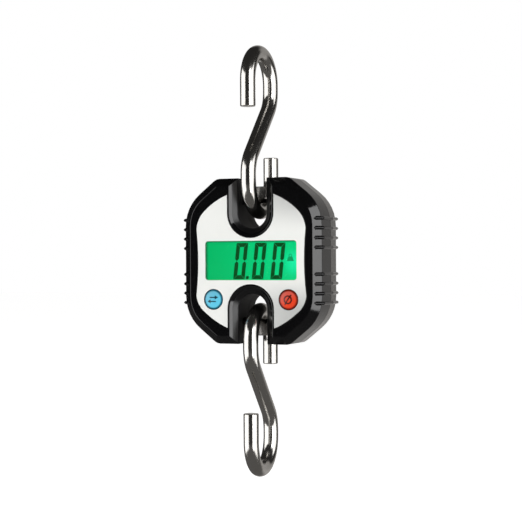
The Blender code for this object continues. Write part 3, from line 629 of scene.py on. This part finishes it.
class FISHSCALE_OT_battery_door(PieceOperator):
    """Round the battery door's edges and give it the rear shell's plastic"""

    bl_idname = "fishscale.battery_door"
    bl_label = "Battery Door"

    def execute(self, context):
        case = self.settings(context).case
        plastic = textured_plastic("door_satin", case.rear)
        refined("battery_door", "battery_door_panel", plastic, "case_black", case.edge)
        return {"FINISHED"}


class FISHSCALE_OT_label(PieceOperator):
    """Make the satin label round the display and the buttons"""

    bl_idname = "fishscale.label"
    bl_label = "Label"

    def execute(self, context):
        label = self.settings(context).label
        material, nodes, place = finish("label_satin")
        # Painted shade: the face is mixed towards the shaded colour towards its top and bottom ends, the more
        # so the further right, as if lit from the left.
        across = nodes.smooth(nodes.axis(place, "X"), -24 * MM, 30 * MM)
        ends = nodes.smooth(abs(nodes.axis(place, "Z") - 4 * MM), 10 * MM, 31 * MM)
        flake = nodes.noise(place, 0.18 * MM, 2)
        clouds = nodes.noise(place, 8 * MM, 2)
        face = nodes.mix(across * ends, label.light, label.shaded)
        nodes.surface(
            Base_Color=nodes.mix(flake * 0.1 + clouds * 0.08, face, linear(196, 197, 193)),
            Roughness=0.34 + flake * 0.1,
            Normal=nodes.bump(flake, 0.008 * MM, 0.35),
            Coat_Weight=0.1,
            Coat_Roughness=0.2,
        )
        refined("front_label", "label_plate", material, "label_white", label.edge, 2, 40)
        return {"FINISHED"}


class FISHSCALE_OT_display(PieceOperator):
    """Make the window, the back-lit glass and its digits"""

    bl_idname = "fishscale.display"
    bl_label = "Display"

    def execute(self, context):
        display = self.settings(context).display
        self.window()
        self.glass(display)
        self.digits(display)
        self.backing()
        return {"FINISHED"}

    def window(self):
        material, nodes, place = finish("window_acrylic")
        dust = nodes.smooth(nodes.noise(place, 0.35 * MM, 4), 0.66, 0.78)
        nodes.surface(
            Base_Color=WHITE,
            Roughness=0.015 + dust * 0.05,
            IOR=1.49,
            Transmission_Weight=1.0,
        )
        refined("lcd_window", "display_window", material, "clear_plastic", 0.1 * MM)

    def glass(self, display):
        """The glass is brightest beside the lamps on the right. Along its left and top edges its glow is
        darkened by a painted shadow of the label's rim.
        """
        low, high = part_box("lcd_glass")
        material, nodes, place = finish("display_green")
        across, up = nodes.axis(place, "X"), nodes.axis(place, "Z")
        along = nodes.smooth(across, low.x, high.x * 0.75)
        clouds = nodes.noise(place, 9 * MM, 1)
        cells = nodes.noise(place, 0.22 * MM, 1)
        spread = nodes.mix(along * 0.85 + clouds * 0.15, display.dim, display.bright)
        beside_lamp = ((across - high.x + 2 * MM) ** 2 + (up + 1 * MM) ** 2) ** 0.5
        lit = nodes.mix(1 - nodes.smooth(beside_lamp, 0, 9 * MM), spread, linear(24, 255, 180))
        # Painted shadow: the glow darkens towards the left and top edges, where the rim of the label would
        # shade it.
        left_rim = nodes.smooth(across, low.x + 0.6 * MM, low.x + 2.2 * MM)
        top_rim = 1 - nodes.smooth(up, high.z - 2.0 * MM, high.z - 0.7 * MM)
        clear_of_painted_shadow = left_rim * top_rim
        glow_with_painted_shadow = nodes.mix(clear_of_painted_shadow, linear(18, 118, 74), lit)
        shown = nodes.mix(cells * 0.06, glow_with_painted_shadow, linear(0, 150, 84))
        nodes.surface(
            Base_Color=nodes.mix(0.85, shown, BLACK),
            Roughness=0.12 + cells * 0.04,
            Specular_IOR_Level=0.15,
            Emission_Color=shown,
            Emission_Strength=display.glow,
        )
        refined("lcd_glass", "display_glass", material, "lcd_green", 0.15 * MM)

    def digits(self, display):
        """Three digits of pointed bars and a decimal point, just in front of the glass."""
        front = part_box("lcd_glass")[0].y - 0.05 * MM
        half_width, half_height = display.digit_width / 2, display.digit_height / 2
        bars = []
        for column in range(3):
            middle = display.first_digit + column * display.digit_pitch
            for up in (-1, 1):
                bars.append(self.level_bar(display, Vector((middle, front, up * half_height)), up))
                for side in (-1, 1):
                    outer = Vector((middle + side * half_width, front, 0))
                    bars.append(self.upright_bar(display, outer, side, up))
        point_x = display.first_digit + 0.45 * display.digit_pitch
        bars.append(self.point(point_x, front, display.stroke * 0.4 - half_height, display.stroke * 0.8))
        digits = joined("display_digits", bars)
        lean = Matrix.Identity(4)
        lean[0][2] = tan(display.slant)
        digits.data.transform(lean)
        sign_x = display.first_digit + 2.66 * display.digit_pitch
        sign = joined("display_unit_sign", self.unit_sign(sign_x, front, 1 * MM))
        dark = self.segment("dark_segment", display.segment, linear(0, 66, 24), display.glow)
        faint = self.segment("faint_segment", display.sign, linear(4, 156, 92), display.glow)
        for piece, material in ((digits, dark), (sign, faint)):
            shade(piece, 20)
            hand_over(piece, "case", material, "lcd_green")

    def segment(self, name, light, deep, glow):
        """A switched-on segment, which holds back most of the light behind it."""
        material, nodes, place = finish(name)
        streaks = nodes.noise(place, 1.5 * MM, 2)
        shown = nodes.mix(streaks * 0.4, light, deep)
        nodes.surface(
            Base_Color=nodes.mix(0.85, shown, BLACK),
            Roughness=0.3 + streaks * 0.05,
            Specular_IOR_Level=0.1,
            Emission_Color=shown,
            Emission_Strength=glow,
        )
        return material

    def block(self, low, high):
        """A thin box between two corners of the display's face."""
        return box_at((low + high) / 2, (high.x - low.x, SEGMENT_DEPTH, high.z - low.z))

    def level_bar(self, display, outer, up):
        """The top or bottom bar of a nought, mitred at both ends: outer is the middle of its outer edge."""
        reach = display.digit_width / 2 - SEGMENT_GAP
        inner_z = outer.z - up * display.stroke
        low = Vector((outer.x - reach, outer.y, min(outer.z, inner_z)))
        high = Vector((outer.x + reach, outer.y, max(outer.z, inner_z)))
        obj = self.block(low, high)
        edit(obj)
        pick(obj, "FACE", lambda face: face.normal.z * up < -0.9)
        resize((1 - display.stroke / reach, 1, 1), outer)
        leave_edit()
        return obj

    def upright_bar(self, display, outer, side, up):
        """One upright bar, mitred where it meets the level bar and pointed in the middle of the nought."""
        stroke = display.stroke
        near, far = SEGMENT_GAP + stroke / 2, display.digit_height / 2 - SEGMENT_GAP
        inner_x = outer.x - side * stroke
        low = Vector((min(outer.x, inner_x), outer.y, near if up > 0 else -far))
        high = Vector((max(outer.x, inner_x), outer.y, far if up > 0 else -near))
        obj = self.block(low, high)
        edit(obj)
        pick(obj, "FACE", lambda face: face.normal.x * side < -0.9)
        ratio = (far - near - stroke) / (far - near)
        resize((1, 1, ratio), (outer.x, outer.y, up * near))
        pick(obj, "FACE", lambda face: lies_at(face, "z", up * near))
        draw_out((0, 0, -up * (stroke / 2 - 0.02 * MM)))
        tip_x = outer.x - side * stroke / 2
        resize((0.06, 1, 1), (tip_x, outer.y, 0))
        leave_edit()
        return obj

    def point(self, x, front, z, stroke):
        reach = Vector((stroke * 0.47, 0, stroke * 0.47))
        obj = self.block(Vector((x, front, z)) - reach, Vector((x, front, z)) + reach)
        bevel(obj, 0.25 * MM, 3, 60)
        return obj

    def unit_sign(self, x, front, z):
        """A small weight: a tapered block with a ring on top."""
        block = box_at((x, front, z), (3.8 * MM, SEGMENT_DEPTH, 2.2 * MM))
        edit(block)
        pick(block, "FACE", lambda face: face.normal.z > 0.9)
        resize((0.62, 1, 1), (x, front, z))
        leave_edit()
        bpy.ops.mesh.primitive_torus_add(location=(x, front, z + 1.7 * MM), rotation=(pi / 2, 0, 0),
                                         major_radius=0.75 * MM, minor_radius=0.2 * MM, major_segments=24,
                                         minor_segments=8)
        ring = bpy.context.object
        ring.scale = (1, 1, 0.2)
        settle(ring)
        return [block, ring]

    def backing(self):
        """The light guide with its printed dots, and the rubber strip that joins glass and board."""
        material, nodes, place = finish("light_guide")
        scaled = {"Vector": place, "Scale": 1 / (0.9 * MM), "Randomness": 0.0}
        dots = nodes.smooth(nodes.add("ShaderNodeTexVoronoi", {}, scaled), 0.25, 0.35)
        nodes.surface(
            Base_Color=nodes.mix(dots, linear(250, 252, 250), linear(206, 232, 214)),
            Roughness=0.3 + dots * 0.15,
            Subsurface_Weight=0.2,
            Subsurface_Radius=(1 * MM, 1 * MM, 1 * MM),
        )
        refined("backlight_panel", "light_guide_panel", material, "light_guide", 0.15 * MM)
        material, nodes, place = finish("contact_rubber")
        band = nodes.between(nodes.axis(place, "Y"), -9.4 * MM, -8.6 * MM, 0.05 * MM)
        carbon = nodes.smooth(nodes.stripes(nodes.axis(place, "X"), 0.25 * MM), 0.2, 0.3) * band
        nodes.surface(
            Base_Color=nodes.mix(carbon, linear(176, 178, 180), linear(34, 34, 36)),
            Roughness=0.6 + carbon * 0.2,
        )
        refined("zebra_connector", "contact_strip", material, "rubber_grey", 0.1 * MM)


class FISHSCALE_OT_buttons(PieceOperator):
    """Turn the two domed caps, lay a sign on each and finish their switches"""

    bl_idname = "fishscale.buttons"
    bl_label = "Buttons"

    def execute(self, context):
        buttons = self.settings(context).buttons
        faces = {"unit": (buttons.unit, buttons.unit_rim), "tare": (buttons.tare, buttons.tare_rim)}
        slots = {"unit": "button_blue", "tare": "button_red"}
        for word in BUTTONS:
            body = f"{word}_button"
            low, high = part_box(body)
            middle = (low + high) / 2
            face, rim = faces[word]
            cap = self.cap(body, middle, low.y, high.y, buttons)
            signs = self.arrows(middle, low.y) if word == "unit" else self.zero_sign(middle, low.y)
            sign = joined(f"{body}_sign", signs)
            self.lay(sign, cap)
            hand_over(sign, body, self.sign_finish(word, rim), slots[word])
            hand_over(cap, body, self.cap_finish(body, face, rim, middle), slots[word], body)
        self.switches()
        return {"FINISHED"}

    def cap(self, body, middle, front, back, buttons):
        """A domed cap with a flange behind the label, drawn out from its back to its crown."""
        radius, flange, corner = buttons.radius, buttons.flange, buttons.corner
        flange_front, shoulder = -11.2 * MM, front + buttons.dome
        rings = [(flange, back - 0.2 * MM), (flange, flange_front), (radius, flange_front),
                 (radius, shoulder + corner)]
        for step in range(1, 6):
            angle = step / 5 * pi / 2
            rings.append((radius - corner * (1 - cos(angle)), shoulder + corner * (1 - sin(angle))))
        edge = radius - corner
        for step in range(1, 8):
            share = 1 - step / 8
            rings.append((edge * share, front + buttons.dome * share ** 2))
        cap = turned(f"{body}_cap", rings, middle.x, middle.z)
        shade(cap, 35)
        return cap

    def arrows(self, middle, front):
        """Two opposed arrows, for changing from one unit to the next."""
        parts = []
        for side in (-1, 1):
            place = Vector((middle.x, front - MM, middle.z + side * 1.05 * MM))
            parts.append(self.stroke(place, 0, (3.6 * MM, 0.6 * MM, 1)))
            place.x += side * 1.8 * MM
            bpy.ops.mesh.primitive_circle_add(vertices=3, radius=1.2 * MM, fill_type="NGON", location=place,
                                              rotation=(pi / 2, side * pi / 2, 0))
            settle(bpy.context.object)
            parts.append(bpy.context.object)
        return parts

    def stroke(self, place, tilt, size):
        """A flat strip in front of the cap."""
        bpy.ops.mesh.primitive_plane_add(size=1, location=place, rotation=(pi / 2, tilt, 0))
        strip = bpy.context.object
        strip.scale = size
        settle(strip)
        return strip

    def zero_sign(self, middle, front):
        """A ring with a bar through it, for setting the reading to nothing."""
        place = Vector((middle.x, front - MM, middle.z))
        facing = (pi / 2, 0, 0)
        bpy.ops.mesh.primitive_circle_add(vertices=40, radius=2.3 * MM, location=place, rotation=facing)
        ring = bpy.context.object
        settle(ring)
        edit(ring)
        select_all()
        bpy.ops.mesh.extrude_edges_move(TRANSFORM_OT_translate={"value": (0, 0, 0)})
        resize((0.68, 1, 0.68), place)
        leave_edit()
        return [ring, self.stroke(place, radians(35), (0.7 * MM, 6.2 * MM, 1))]

    def lay(self, sign, cap):
        """Lays a flat sign on the cap and gives it a thin body, as printed enamel has."""
        edit(sign)
        select_all()
        bpy.ops.mesh.quads_convert_to_tris()
        bpy.ops.mesh.subdivide(number_cuts=5)
        leave_edit()
        wrap = sign.modifiers.new("lay", "SHRINKWRAP")
        wrap.target = cap
        wrap.wrap_method = "PROJECT"
        wrap.use_project_y = True
        wrap.use_negative_direction = wrap.use_positive_direction = True
        wrap.offset = 0.03 * MM
        body = sign.modifiers.new("body", "SOLIDIFY")
        body.thickness = 0.03 * MM
        apply_modifiers(sign)
        edit(sign)
        face_outwards()
        leave_edit()
        shade(sign, 35)

    def cap_finish(self, body, face, rim, middle):
        """Tinted clear plastic, paled towards its upper left by a painted highlight and deepened at the rim
        by painted shade.
        """
        material, nodes, place = finish(f"{body}_plastic")
        across = nodes.axis(place, "X") - middle.x
        up = nodes.axis(place, "Z") - middle.z
        away = (across ** 2 + up ** 2) ** 0.5
        # Painted shade: the rim colour is mixed in towards the cap's edge.
        painted_rim_shade = nodes.smooth(away, 3.9 * MM, 4.8 * MM)
        # Painted highlight: the face is paled towards the upper left, as if lit from there.
        painted_highlight = nodes.smooth(up - across * 0.5, -3 * MM, 4 * MM)
        flow = nodes.noise(place, 2 * MM, 2)
        pale = [part + (1 - part) * 0.1 for part in face]
        lit = nodes.mix(painted_highlight * 0.7 + flow * 0.2, face, pale)
        nodes.surface(
            Base_Color=nodes.mix(painted_rim_shade, lit, rim),
            Roughness=0.2 + flow * 0.06,
            Normal=nodes.bump(flow, 0.02 * MM, 0.3),
            Specular_IOR_Level=0.15,
            Coat_Weight=0.06,
            Coat_Roughness=0.06,
        )
        return material

    def sign_finish(self, word, rim):
        material, nodes, place = finish(f"{word}_sign_enamel")
        print_grain = nodes.noise(place, 0.2 * MM, 2)
        ink, deep_ink = ([part * depth for part in rim] for depth in (0.5, 0.3))
        nodes.surface(
            Base_Color=nodes.mix(print_grain * 0.3, ink, deep_ink),
            Roughness=0.3 + print_grain * 0.1,
        )
        return material

    def switches(self):
        shell = bright_steel("switch_shell", linear(190, 190, 188), 0.3)
        stem = moulded_cover("switch_stem", linear(38, 38, 40), 0.45)
        for word in BUTTONS:
            refined(f"{word}_switch_body", f"{word}_switch_shell", shell, "spring_steel", 0.15 * MM)
            refined(f"{word}_switch_plunger", f"{word}_switch_stem", stem, "chip_black", 0.12 * MM)


class FISHSCALE_OT_hooks(PieceOperator):
    """Draw out the rod of each S-hook and turn the lower one over"""

    bl_idname = "fishscale.hooks"
    bl_label = "Hooks"

    def execute(self, context):
        hooks = self.settings(context).hooks
        upper = self.rod("upper_hook_rod", hooks, hooks.upper_tip)
        lower = self.rod("lower_hook_rod", hooks, hooks.lower_tip)
        upside_down = Matrix.Scale(-1, 4, (0, 0, 1))
        lower.data.transform(Matrix.Rotation(hooks.lower_turn, 4, "Z") @ upside_down)
        edit(lower)
        face_outwards()
        leave_edit()
        for rod, body in ((upper, "upper_hook"), (lower, "lower_hook")):
            shade(rod, 50)
            steel = bright_steel(f"{body}_steel", hooks.steel, hooks.dullness, (1, 1, 0.05), 0.6 * MM, 0)
            hand_over(rod, body, steel, "polished_steel", body)
        return {"FINISHED"}

    def rod(self, name, hooks, open_tip):
        """A rod in the upper hook's place, drawn out from its open end to the end inside the case."""
        low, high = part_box("upper_hook")
        radius, bend, straight = (high.x - low.x) / 2, hooks.bend, hooks.straight
        outer_z, inner_z = high.z - radius - bend, low.z + radius + bend
        rise = outer_z - inner_z - 2 * straight
        lean = asin(2 * bend / rise)
        start = (0, -bend, outer_z - open_tip)
        bpy.ops.mesh.primitive_circle_add(vertices=ALL_ROUND, radius=radius, location=start)
        rod = named(bpy.context.object, name)
        settle(rod)
        edit(rod)
        bpy.ops.mesh.select_mode(type="EDGE")
        select_all()
        self.lengthen(open_tip)
        self.bend_round(outer_z, -pi, 40)
        self.lengthen(-straight)
        self.bend_round(outer_z - straight, -lean, 10)
        self.lengthen(-rise * cos(lean) ** 2, -rise * cos(lean) * sin(lean))
        self.bend_round(inner_z + straight, lean, 10)
        self.lengthen(-straight)
        self.bend_round(inner_z, pi, 40)
        self.lengthen(hooks.inner_tip)
        bpy.ops.mesh.select_all(action="DESELECT")
        bpy.ops.mesh.select_non_manifold()
        bpy.ops.mesh.fill_holes(sides=0)
        face_outwards()
        leave_edit()
        bevel(rod, hooks.tip_rounding, 5, 60)
        return rod

    def lengthen(self, rise, shift=0.0):
        bpy.ops.mesh.extrude_edges_move(TRANSFORM_OT_translate={"value": (0, shift, rise)})

    def bend_round(self, height, angle, steps):
        """Bends the rod on about a level axis through the middle of the hook."""
        middle = (0, 0, height)
        bpy.ops.mesh.spin(steps=steps, angle=-angle, center=middle, axis=(1, 0, 0), use_auto_merge=False)


class FISHSCALE_OT_load_cell(PieceOperator):
    """Finish the load cell, its foil gauges and their lead"""

    bl_idname = "fishscale.load_cell"
    bl_label = "Load Cell"

    def execute(self, context):
        grey = linear(184, 184, 185)
        steel = bright_steel("load_cell_steel", grey, 0.2, (0.05, 1, 1), 0.2 * MM, 0.006 * MM)
        refined("load_cell", "load_cell_frame", steel, "polished_steel", 0.4 * MM, 3)
        for node in ("strain_gauge_left", "strain_gauge_right"):
            refined(node, f"{node}_foil", self.foil(node), "gauge_foil", 0.03 * MM, 1)
        dress(moulded_cover("lead_grey", linear(128, 128, 130), 0.4), "gauge_lead")
        return {"FINISHED"}

    def foil(self, node):
        """Amber film with a folded foil track."""
        low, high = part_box(node)
        middle, tall = (low + high) / 2, high.z - low.z
        material, nodes, place = finish(f"{node}_film")
        across, up = nodes.axis(place, "X") - middle.x, nodes.axis(place, "Z") - middle.z
        lines = nodes.smooth(nodes.stripes(across, 0.3 * MM), 0.22, 0.3)
        window = 1 - nodes.smooth(abs(up), tall * 0.3, tall * 0.34)
        track = lines * window
        nodes.surface(
            Base_Color=nodes.mix(track, linear(196, 128, 40), linear(200, 190, 176)),
            Metallic=track * 0.9,
            Roughness=0.42 - track * 0.15,
        )
        return material


class FISHSCALE_OT_screws(PieceOperator):
    """Turn a pan-head screw, sink a cross in its head and copy it to every screw's place"""

    bl_idname = "fishscale.screws"
    bl_label = "Screws"

    def execute(self, context):
        steel = bright_steel("screw_zinc", linear(206, 208, 210), 0.24, (1, 0.2, 1), 0.3 * MM, 0.01 * MM)
        families = (
            [f"case_screw_{number}" for number in (1, 2, 3, 4)],
            ["board_screw_left", "board_screw_right"],
            ["load_cell_screw_left", "load_cell_screw_right"],
        )
        for family in families:
            low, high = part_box(family[0])
            pattern = self.screw(family[0], low, high)
            first = (low + high) / 2
            for node in family[1:]:
                lowest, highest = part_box(node)
                twin = copy_of(pattern, f"{node}_turned", (lowest + highest) / 2 - first)
                hand_over(twin, "case", steel, "spring_steel", node)
            hand_over(pattern, "case", steel, "spring_steel", family[0])
        return {"FINISHED"}

    def screw(self, node, low, high):
        """A screw along Y with its head behind: point, shaft, flat seat and rounded head."""
        middle = (low + high) / 2
        head, crown = (high.x - low.x) / 2, 0.5 * MM
        reach = {}
        for vertex in frame["nodes"][node].data.vertices:
            away = hypot(vertex.co.x - middle.x, vertex.co.z - middle.z)
            reach[vertex.co.y] = max(away, reach.get(vertex.co.y, 0))
        seat = min(y for y, away in reach.items() if away > head * 0.97)
        shaft = max(away for y, away in reach.items() if low.y + MM < y < seat - 0.01 * MM)
        rings = [(shaft * 0.5, low.y), (shaft, low.y + 1.2 * MM), (shaft, seat), (head, seat)]
        for step in range(5):
            angle = step / 4 * pi / 2
            rings.append((head * (0.72 + 0.28 * cos(angle)), high.y - crown * (1 - sin(angle))))
        screw = turned(f"{node}_turned", rings, middle.x, middle.z, 32)
        long, narrow = head * 1.15, head * 0.3
        for width, height in ((long, narrow), (narrow, long)):
            self.sink(screw, Vector((middle.x, high.y, middle.z)), (width, 1.6 * MM, height))
        bevel(screw, 0.06 * MM, 2, 45, True)
        shade(screw, 35)
        return screw

    def sink(self, screw, place, size):
        """Sinks one slot of the cross, narrower at its bottom."""
        slot = box_at(place, size)
        edit(slot)
        pick(slot, "FACE", lambda face: face.normal.y < -0.9)
        resize((0.6, 1, 0.6), place)
        leave_edit()
        cross = screw.modifiers.new("cross", "BOOLEAN")
        cross.operation = "DIFFERENCE"
        cross.solver = "EXACT"
        cross.object = slot
        apply_modifiers(screw)
        bpy.data.objects.remove(slot)


class FISHSCALE_OT_electronics(PieceOperator):
    """Finish the board, its chips and its crystal"""

    bl_idname = "fishscale.electronics"
    bl_label = "Electronics"

    def execute(self, context):
        refined("main_board", "circuit_board", self.board(), "board_green", 0.08 * MM, 1)
        for node in ("controller_chip", "converter_chip"):
            refined(node, f"{node}_body", self.epoxy(node), "chip_black", 0.15 * MM)
        can = bright_steel("crystal_can", linear(208, 208, 206), 0.22)
        refined("clock_crystal", "clock_crystal_can", can, "spring_steel", 0.4 * MM, 3)
        return {"FINISHED"}

    def board(self):
        """Green solder mask over copper tracks, with tinned pads."""
        material, nodes, place = finish("board_mask")
        grid = {"Vector": place, "Scale": 1 / (2.6 * MM), "Randomness": 0.0}
        cells = nodes.add("ShaderNodeTexVoronoi", {"feature": "F1"}, grid, "Distance")
        chosen = nodes.noise(place, 7 * MM, 0)
        pads = (1 - nodes.smooth(cells, 0.14, 0.17)) * nodes.smooth(chosen, 0.5, 0.52)
        rows = nodes.smooth(nodes.stripes(nodes.axis(place, "Z"), 1.3 * MM), 0.32, 0.36)
        columns = nodes.smooth(nodes.stripes(nodes.axis(place, "X"), 1.3 * MM), 0.32, 0.36)
        tracks = nodes.maths("MAXIMUM", rows * nodes.smooth(chosen, 0.46, 0.48),
                             columns * (1 - nodes.smooth(chosen, 0.4, 0.42)))
        mask = nodes.mix(tracks * 0.7, linear(16, 84, 44), linear(40, 128, 66))
        nodes.surface(
            Base_Color=nodes.mix(pads, mask, linear(206, 206, 200)),
            Metallic=pads,
            Roughness=0.34 - pads * 0.08,
            Normal=nodes.bump(tracks + pads, 0.03 * MM, 0.6),
        )
        return material

    def epoxy(self, node):
        """Matt moulding with a small dimple that marks the first leg."""
        low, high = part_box(node)
        material, nodes, place = finish(f"{node}_epoxy")
        grain = nodes.noise(place, 0.15 * MM, 3)
        across = nodes.axis(place, "X") - (low.x + 1.2 * MM)
        up = nodes.axis(place, "Z") - (high.z - 1.2 * MM)
        dimple = 1 - nodes.smooth((across ** 2 + up ** 2) ** 0.5, 0.3 * MM, 0.45 * MM)
        nodes.surface(
            Base_Color=nodes.mix(grain * 0.5, linear(28, 28, 30), linear(52, 52, 54)),
            Roughness=0.62 - dimple * 0.3 + grain * 0.1,
            Normal=nodes.bump(grain * 0.2 - dimple, 0.12 * MM, 0.7),
        )
        return material


class FISHSCALE_OT_batteries(PieceOperator):
    """Finish the cells, their springs and contacts and the wires to the board"""

    bl_idname = "fishscale.batteries"
    bl_label = "Batteries"

    def execute(self, context):
        for number in (1, 2):
            node = f"battery_{number}"
            refined(node, f"{node}_cell", self.wrap(node), "battery_wrap", 0.25 * MM, 3)
        spring = bright_steel("spring_wire", linear(200, 200, 198), 0.2)
        dress(spring, "battery_spring_1", "battery_spring_2")
        plate = bright_steel("contact_plate", linear(214, 210, 200), 0.24, (1, 1, 0.1))
        for node in ("bridge_contact", "positive_contact", "negative_contact"):
            refined(node, f"{node}_plate", plate, "spring_steel", 0.08 * MM, 1)
        dress(moulded_cover("wire_red", linear(176, 26, 22), 0.38), "battery_wire_red")
        dress(moulded_cover("wire_black", linear(26, 26, 28), 0.38), "battery_wire_black")
        return {"FINISHED"}

    def wrap(self, node):
        """A printed sleeve, dark with a copper-coloured end, that stops short of the bare ends."""
        low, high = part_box(node)
        corners = [v.co for v in frame["nodes"][node].data.vertices]
        radius = (high.z - low.z) / 2
        middle_z = (low.z + high.z) / 2
        plus = 1 if sum(c.x for c in corners if abs(c.z - middle_z) < radius * 0.5) > 0 else -1
        material, nodes, place = finish(f"{node}_sleeve")
        along = nodes.axis(place, "X") * plus
        copper = nodes.smooth(along, 9.8 * MM, 10.0 * MM)
        line = nodes.between(along, 8.6 * MM, 9.2 * MM, 0.08 * MM)
        bare = 1 - nodes.between(along, -21.4 * MM, 21.4 * MM, 0.05 * MM)
        scratches = nodes.noise(place, 0.3 * MM, 3, (0.1, 1, 1))
        sleeve = nodes.mix(copper, linear(24, 26, 30), linear(186, 112, 58))
        printed = nodes.mix(line, sleeve, linear(214, 214, 210))
        nodes.surface(
            Base_Color=nodes.mix(bare, printed, linear(196, 196, 192)),
            Metallic=nodes.maths("MAXIMUM", bare, copper * 0.8),
            Roughness=0.24 + scratches * 0.14,
            Normal=nodes.bump(scratches, 0.01 * MM, 0.3),
        )
        return material


class FISHSCALE_OT_studio(PieceOperator):
    """Set up the pale floor, the soft boxes, the surroundings and the camera"""

    bl_idname = "fishscale.studio"
    bl_label = "Studio"

    def execute(self, context):
        studio = self.settings(context).studio
        self.floor(studio)
        self.surroundings(context.scene)
        self.soft_box("key_soft_box", studio, (57, 4), (23, 61), studio.key)
        self.soft_box("right_soft_box", studio, (93, 0), (46, 60), studio.fill)
        self.soft_box("left_soft_box", studio, (-62, 0), (54, 60), studio.fill)
        strip = self.soft_box("hook_soft_box", studio, (-26, 0), (18, 56), studio.fill)
        steel = bpy.data.collections.new("lit_by_hook_soft_box")
        for node in ("upper_hook", "lower_hook"):
            steel.objects.link(bpy.data.objects[f"{node}_rod"])
        strip.light_linking.receiver_collection = steel
        self.camera(context.scene, studio)
        return {"FINISHED"}

    def floor(self, studio):
        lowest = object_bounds()[0].z - studio.floor_drop
        bpy.ops.mesh.primitive_grid_add(size=12, x_subdivisions=4, y_subdivisions=4, location=(0, 0, lowest))
        floor = named(bpy.context.object, "studio_floor")
        settle(floor)
        material, nodes, place = finish("floor_white")
        speckle = nodes.noise(place, 0.4, 2)
        nodes.surface(
            Base_Color=nodes.mix(speckle, (0.9, 0.9, 0.9), (0.86, 0.86, 0.86)),
            Roughness=0.9 + speckle * 0.05,
            Emission_Color=WHITE,
            Emission_Strength=0.95,
        )
        floor.data.materials.append(material)
        floor.visible_glossy = False
        floor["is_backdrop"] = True

    def surroundings(self, scene):
        """White to look at. Dim to the surfaces, paler below and in a band behind the case."""
        world = bpy.data.worlds.new("studio_surroundings")
        scene.world = world
        nodes = Nodes(world)
        direction = nodes.place("Generated")
        east, north = nodes.axis(direction, "X"), nodes.axis(direction, "Y")
        azimuth = abs(nodes.maths("ARCTAN2", east, north * -1))
        up = nodes.axis(direction, "Z")
        level = nodes.between(up, -0.55, 0.6, 0.15)
        behind = nodes.smooth(azimuth, radians(148), radians(154))
        strength = 0.026 + nodes.smooth(up * -1, 0.05, 0.35) * 0.1 + behind * level * 0.34
        room = nodes.add("ShaderNodeBackground", {}, {"Color": (1.0, 0.97, 0.94), "Strength": strength})
        white = nodes.add("ShaderNodeBackground", {}, {"Color": WHITE, "Strength": 1.0})
        seen = nodes.add("ShaderNodeLightPath", {}, {}, "Is Camera Ray")
        shown = nodes.add("ShaderNodeMixShader", {}, {0: seen, 1: room, 2: white})
        nodes.add("ShaderNodeOutputWorld", {}, {"Surface": shown})

    def soft_box(self, name, studio, direction, spread, luminance):
        """A soft box seen from the case in a direction, spreading over degrees of width and height."""
        azimuth, elevation = direction
        distance = studio.light_distance
        light = bpy.data.lights.new(name, "AREA")
        light.shape = "RECTANGLE"
        light.size, light.size_y = (2 * distance * tan(radians(angle / 2)) for angle in spread)
        light.energy = luminance * pi * light.size * light.size_y
        box = bpy.data.objects.new(name, light)
        bpy.context.scene.collection.objects.link(box)
        facing = Matrix.Rotation(radians(azimuth), 4, "Z") @ Matrix.Rotation(radians(90 - elevation), 4, "X")
        box.matrix_world = facing @ Matrix.Translation((0, 0, distance))
        box.visible_camera = False
        return box

    def camera(self, scene, studio):
        camera = bpy.data.cameras.new("studio_camera")
        camera.lens = studio.lens
        obj = bpy.data.objects.new("studio_camera", camera)
        scene.collection.objects.link(obj)
        upright = Matrix.Rotation(studio.azimuth, 4, "Z") @ Matrix.Rotation(pi / 2, 4, "X")
        away = Matrix.Translation((studio.aside, 0, studio.distance))
        obj.matrix_world = upright @ away @ Matrix.Rotation(-studio.roll, 4, "Z")
        scene.camera = obj
        scene.view_settings.view_transform = "Standard"


OPERATORS = (
    FISHSCALE_OT_case,
    FISHSCALE_OT_battery_door,
    FISHSCALE_OT_label,
    FISHSCALE_OT_display,
    FISHSCALE_OT_buttons,
    FISHSCALE_OT_hooks,
    FISHSCALE_OT_load_cell,
    FISHSCALE_OT_screws,
    FISHSCALE_OT_electronics,
    FISHSCALE_OT_batteries,
    FISHSCALE_OT_studio,
)


class FISHSCALE_PT_panel(bpy.types.Panel):
    """Lists the operators of the fish scale"""

    bl_idname = "FISHSCALE_PT_panel"
    bl_label = "Fish Scale"
    bl_space_type = "VIEW_3D"
    bl_region_type = "UI"
    bl_category = "Fish Scale"

    def draw(self, context):
        for operator in OPERATORS:
            self.layout.operator(operator.bl_idname)


CLASSES = (
    CaseSettings,
    HookSettings,
    LabelSettings,
    DisplaySettings,
    ButtonSettings,
    StudioSettings,
    FishScaleSettings,
    *OPERATORS,
    FISHSCALE_PT_panel,
)


def register():
    for each in CLASSES:
        bpy.utils.register_class(each)
    bpy.types.Scene.fish_scale = PointerProperty(type=FishScaleSettings)


def unregister():
    del bpy.types.Scene.fish_scale
    for each in reversed(CLASSES):
        bpy.utils.unregister_class(each)


def main():
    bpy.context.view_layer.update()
    register()
    for operator in OPERATORS:
        group, call = operator.bl_idname.split(".")
        result = getattr(getattr(bpy.ops, group), call)()
        if result != {"FINISHED"}:
            raise RuntimeError(f"{operator.bl_idname} did not finish")


if __name__ == "__main__":
    main()
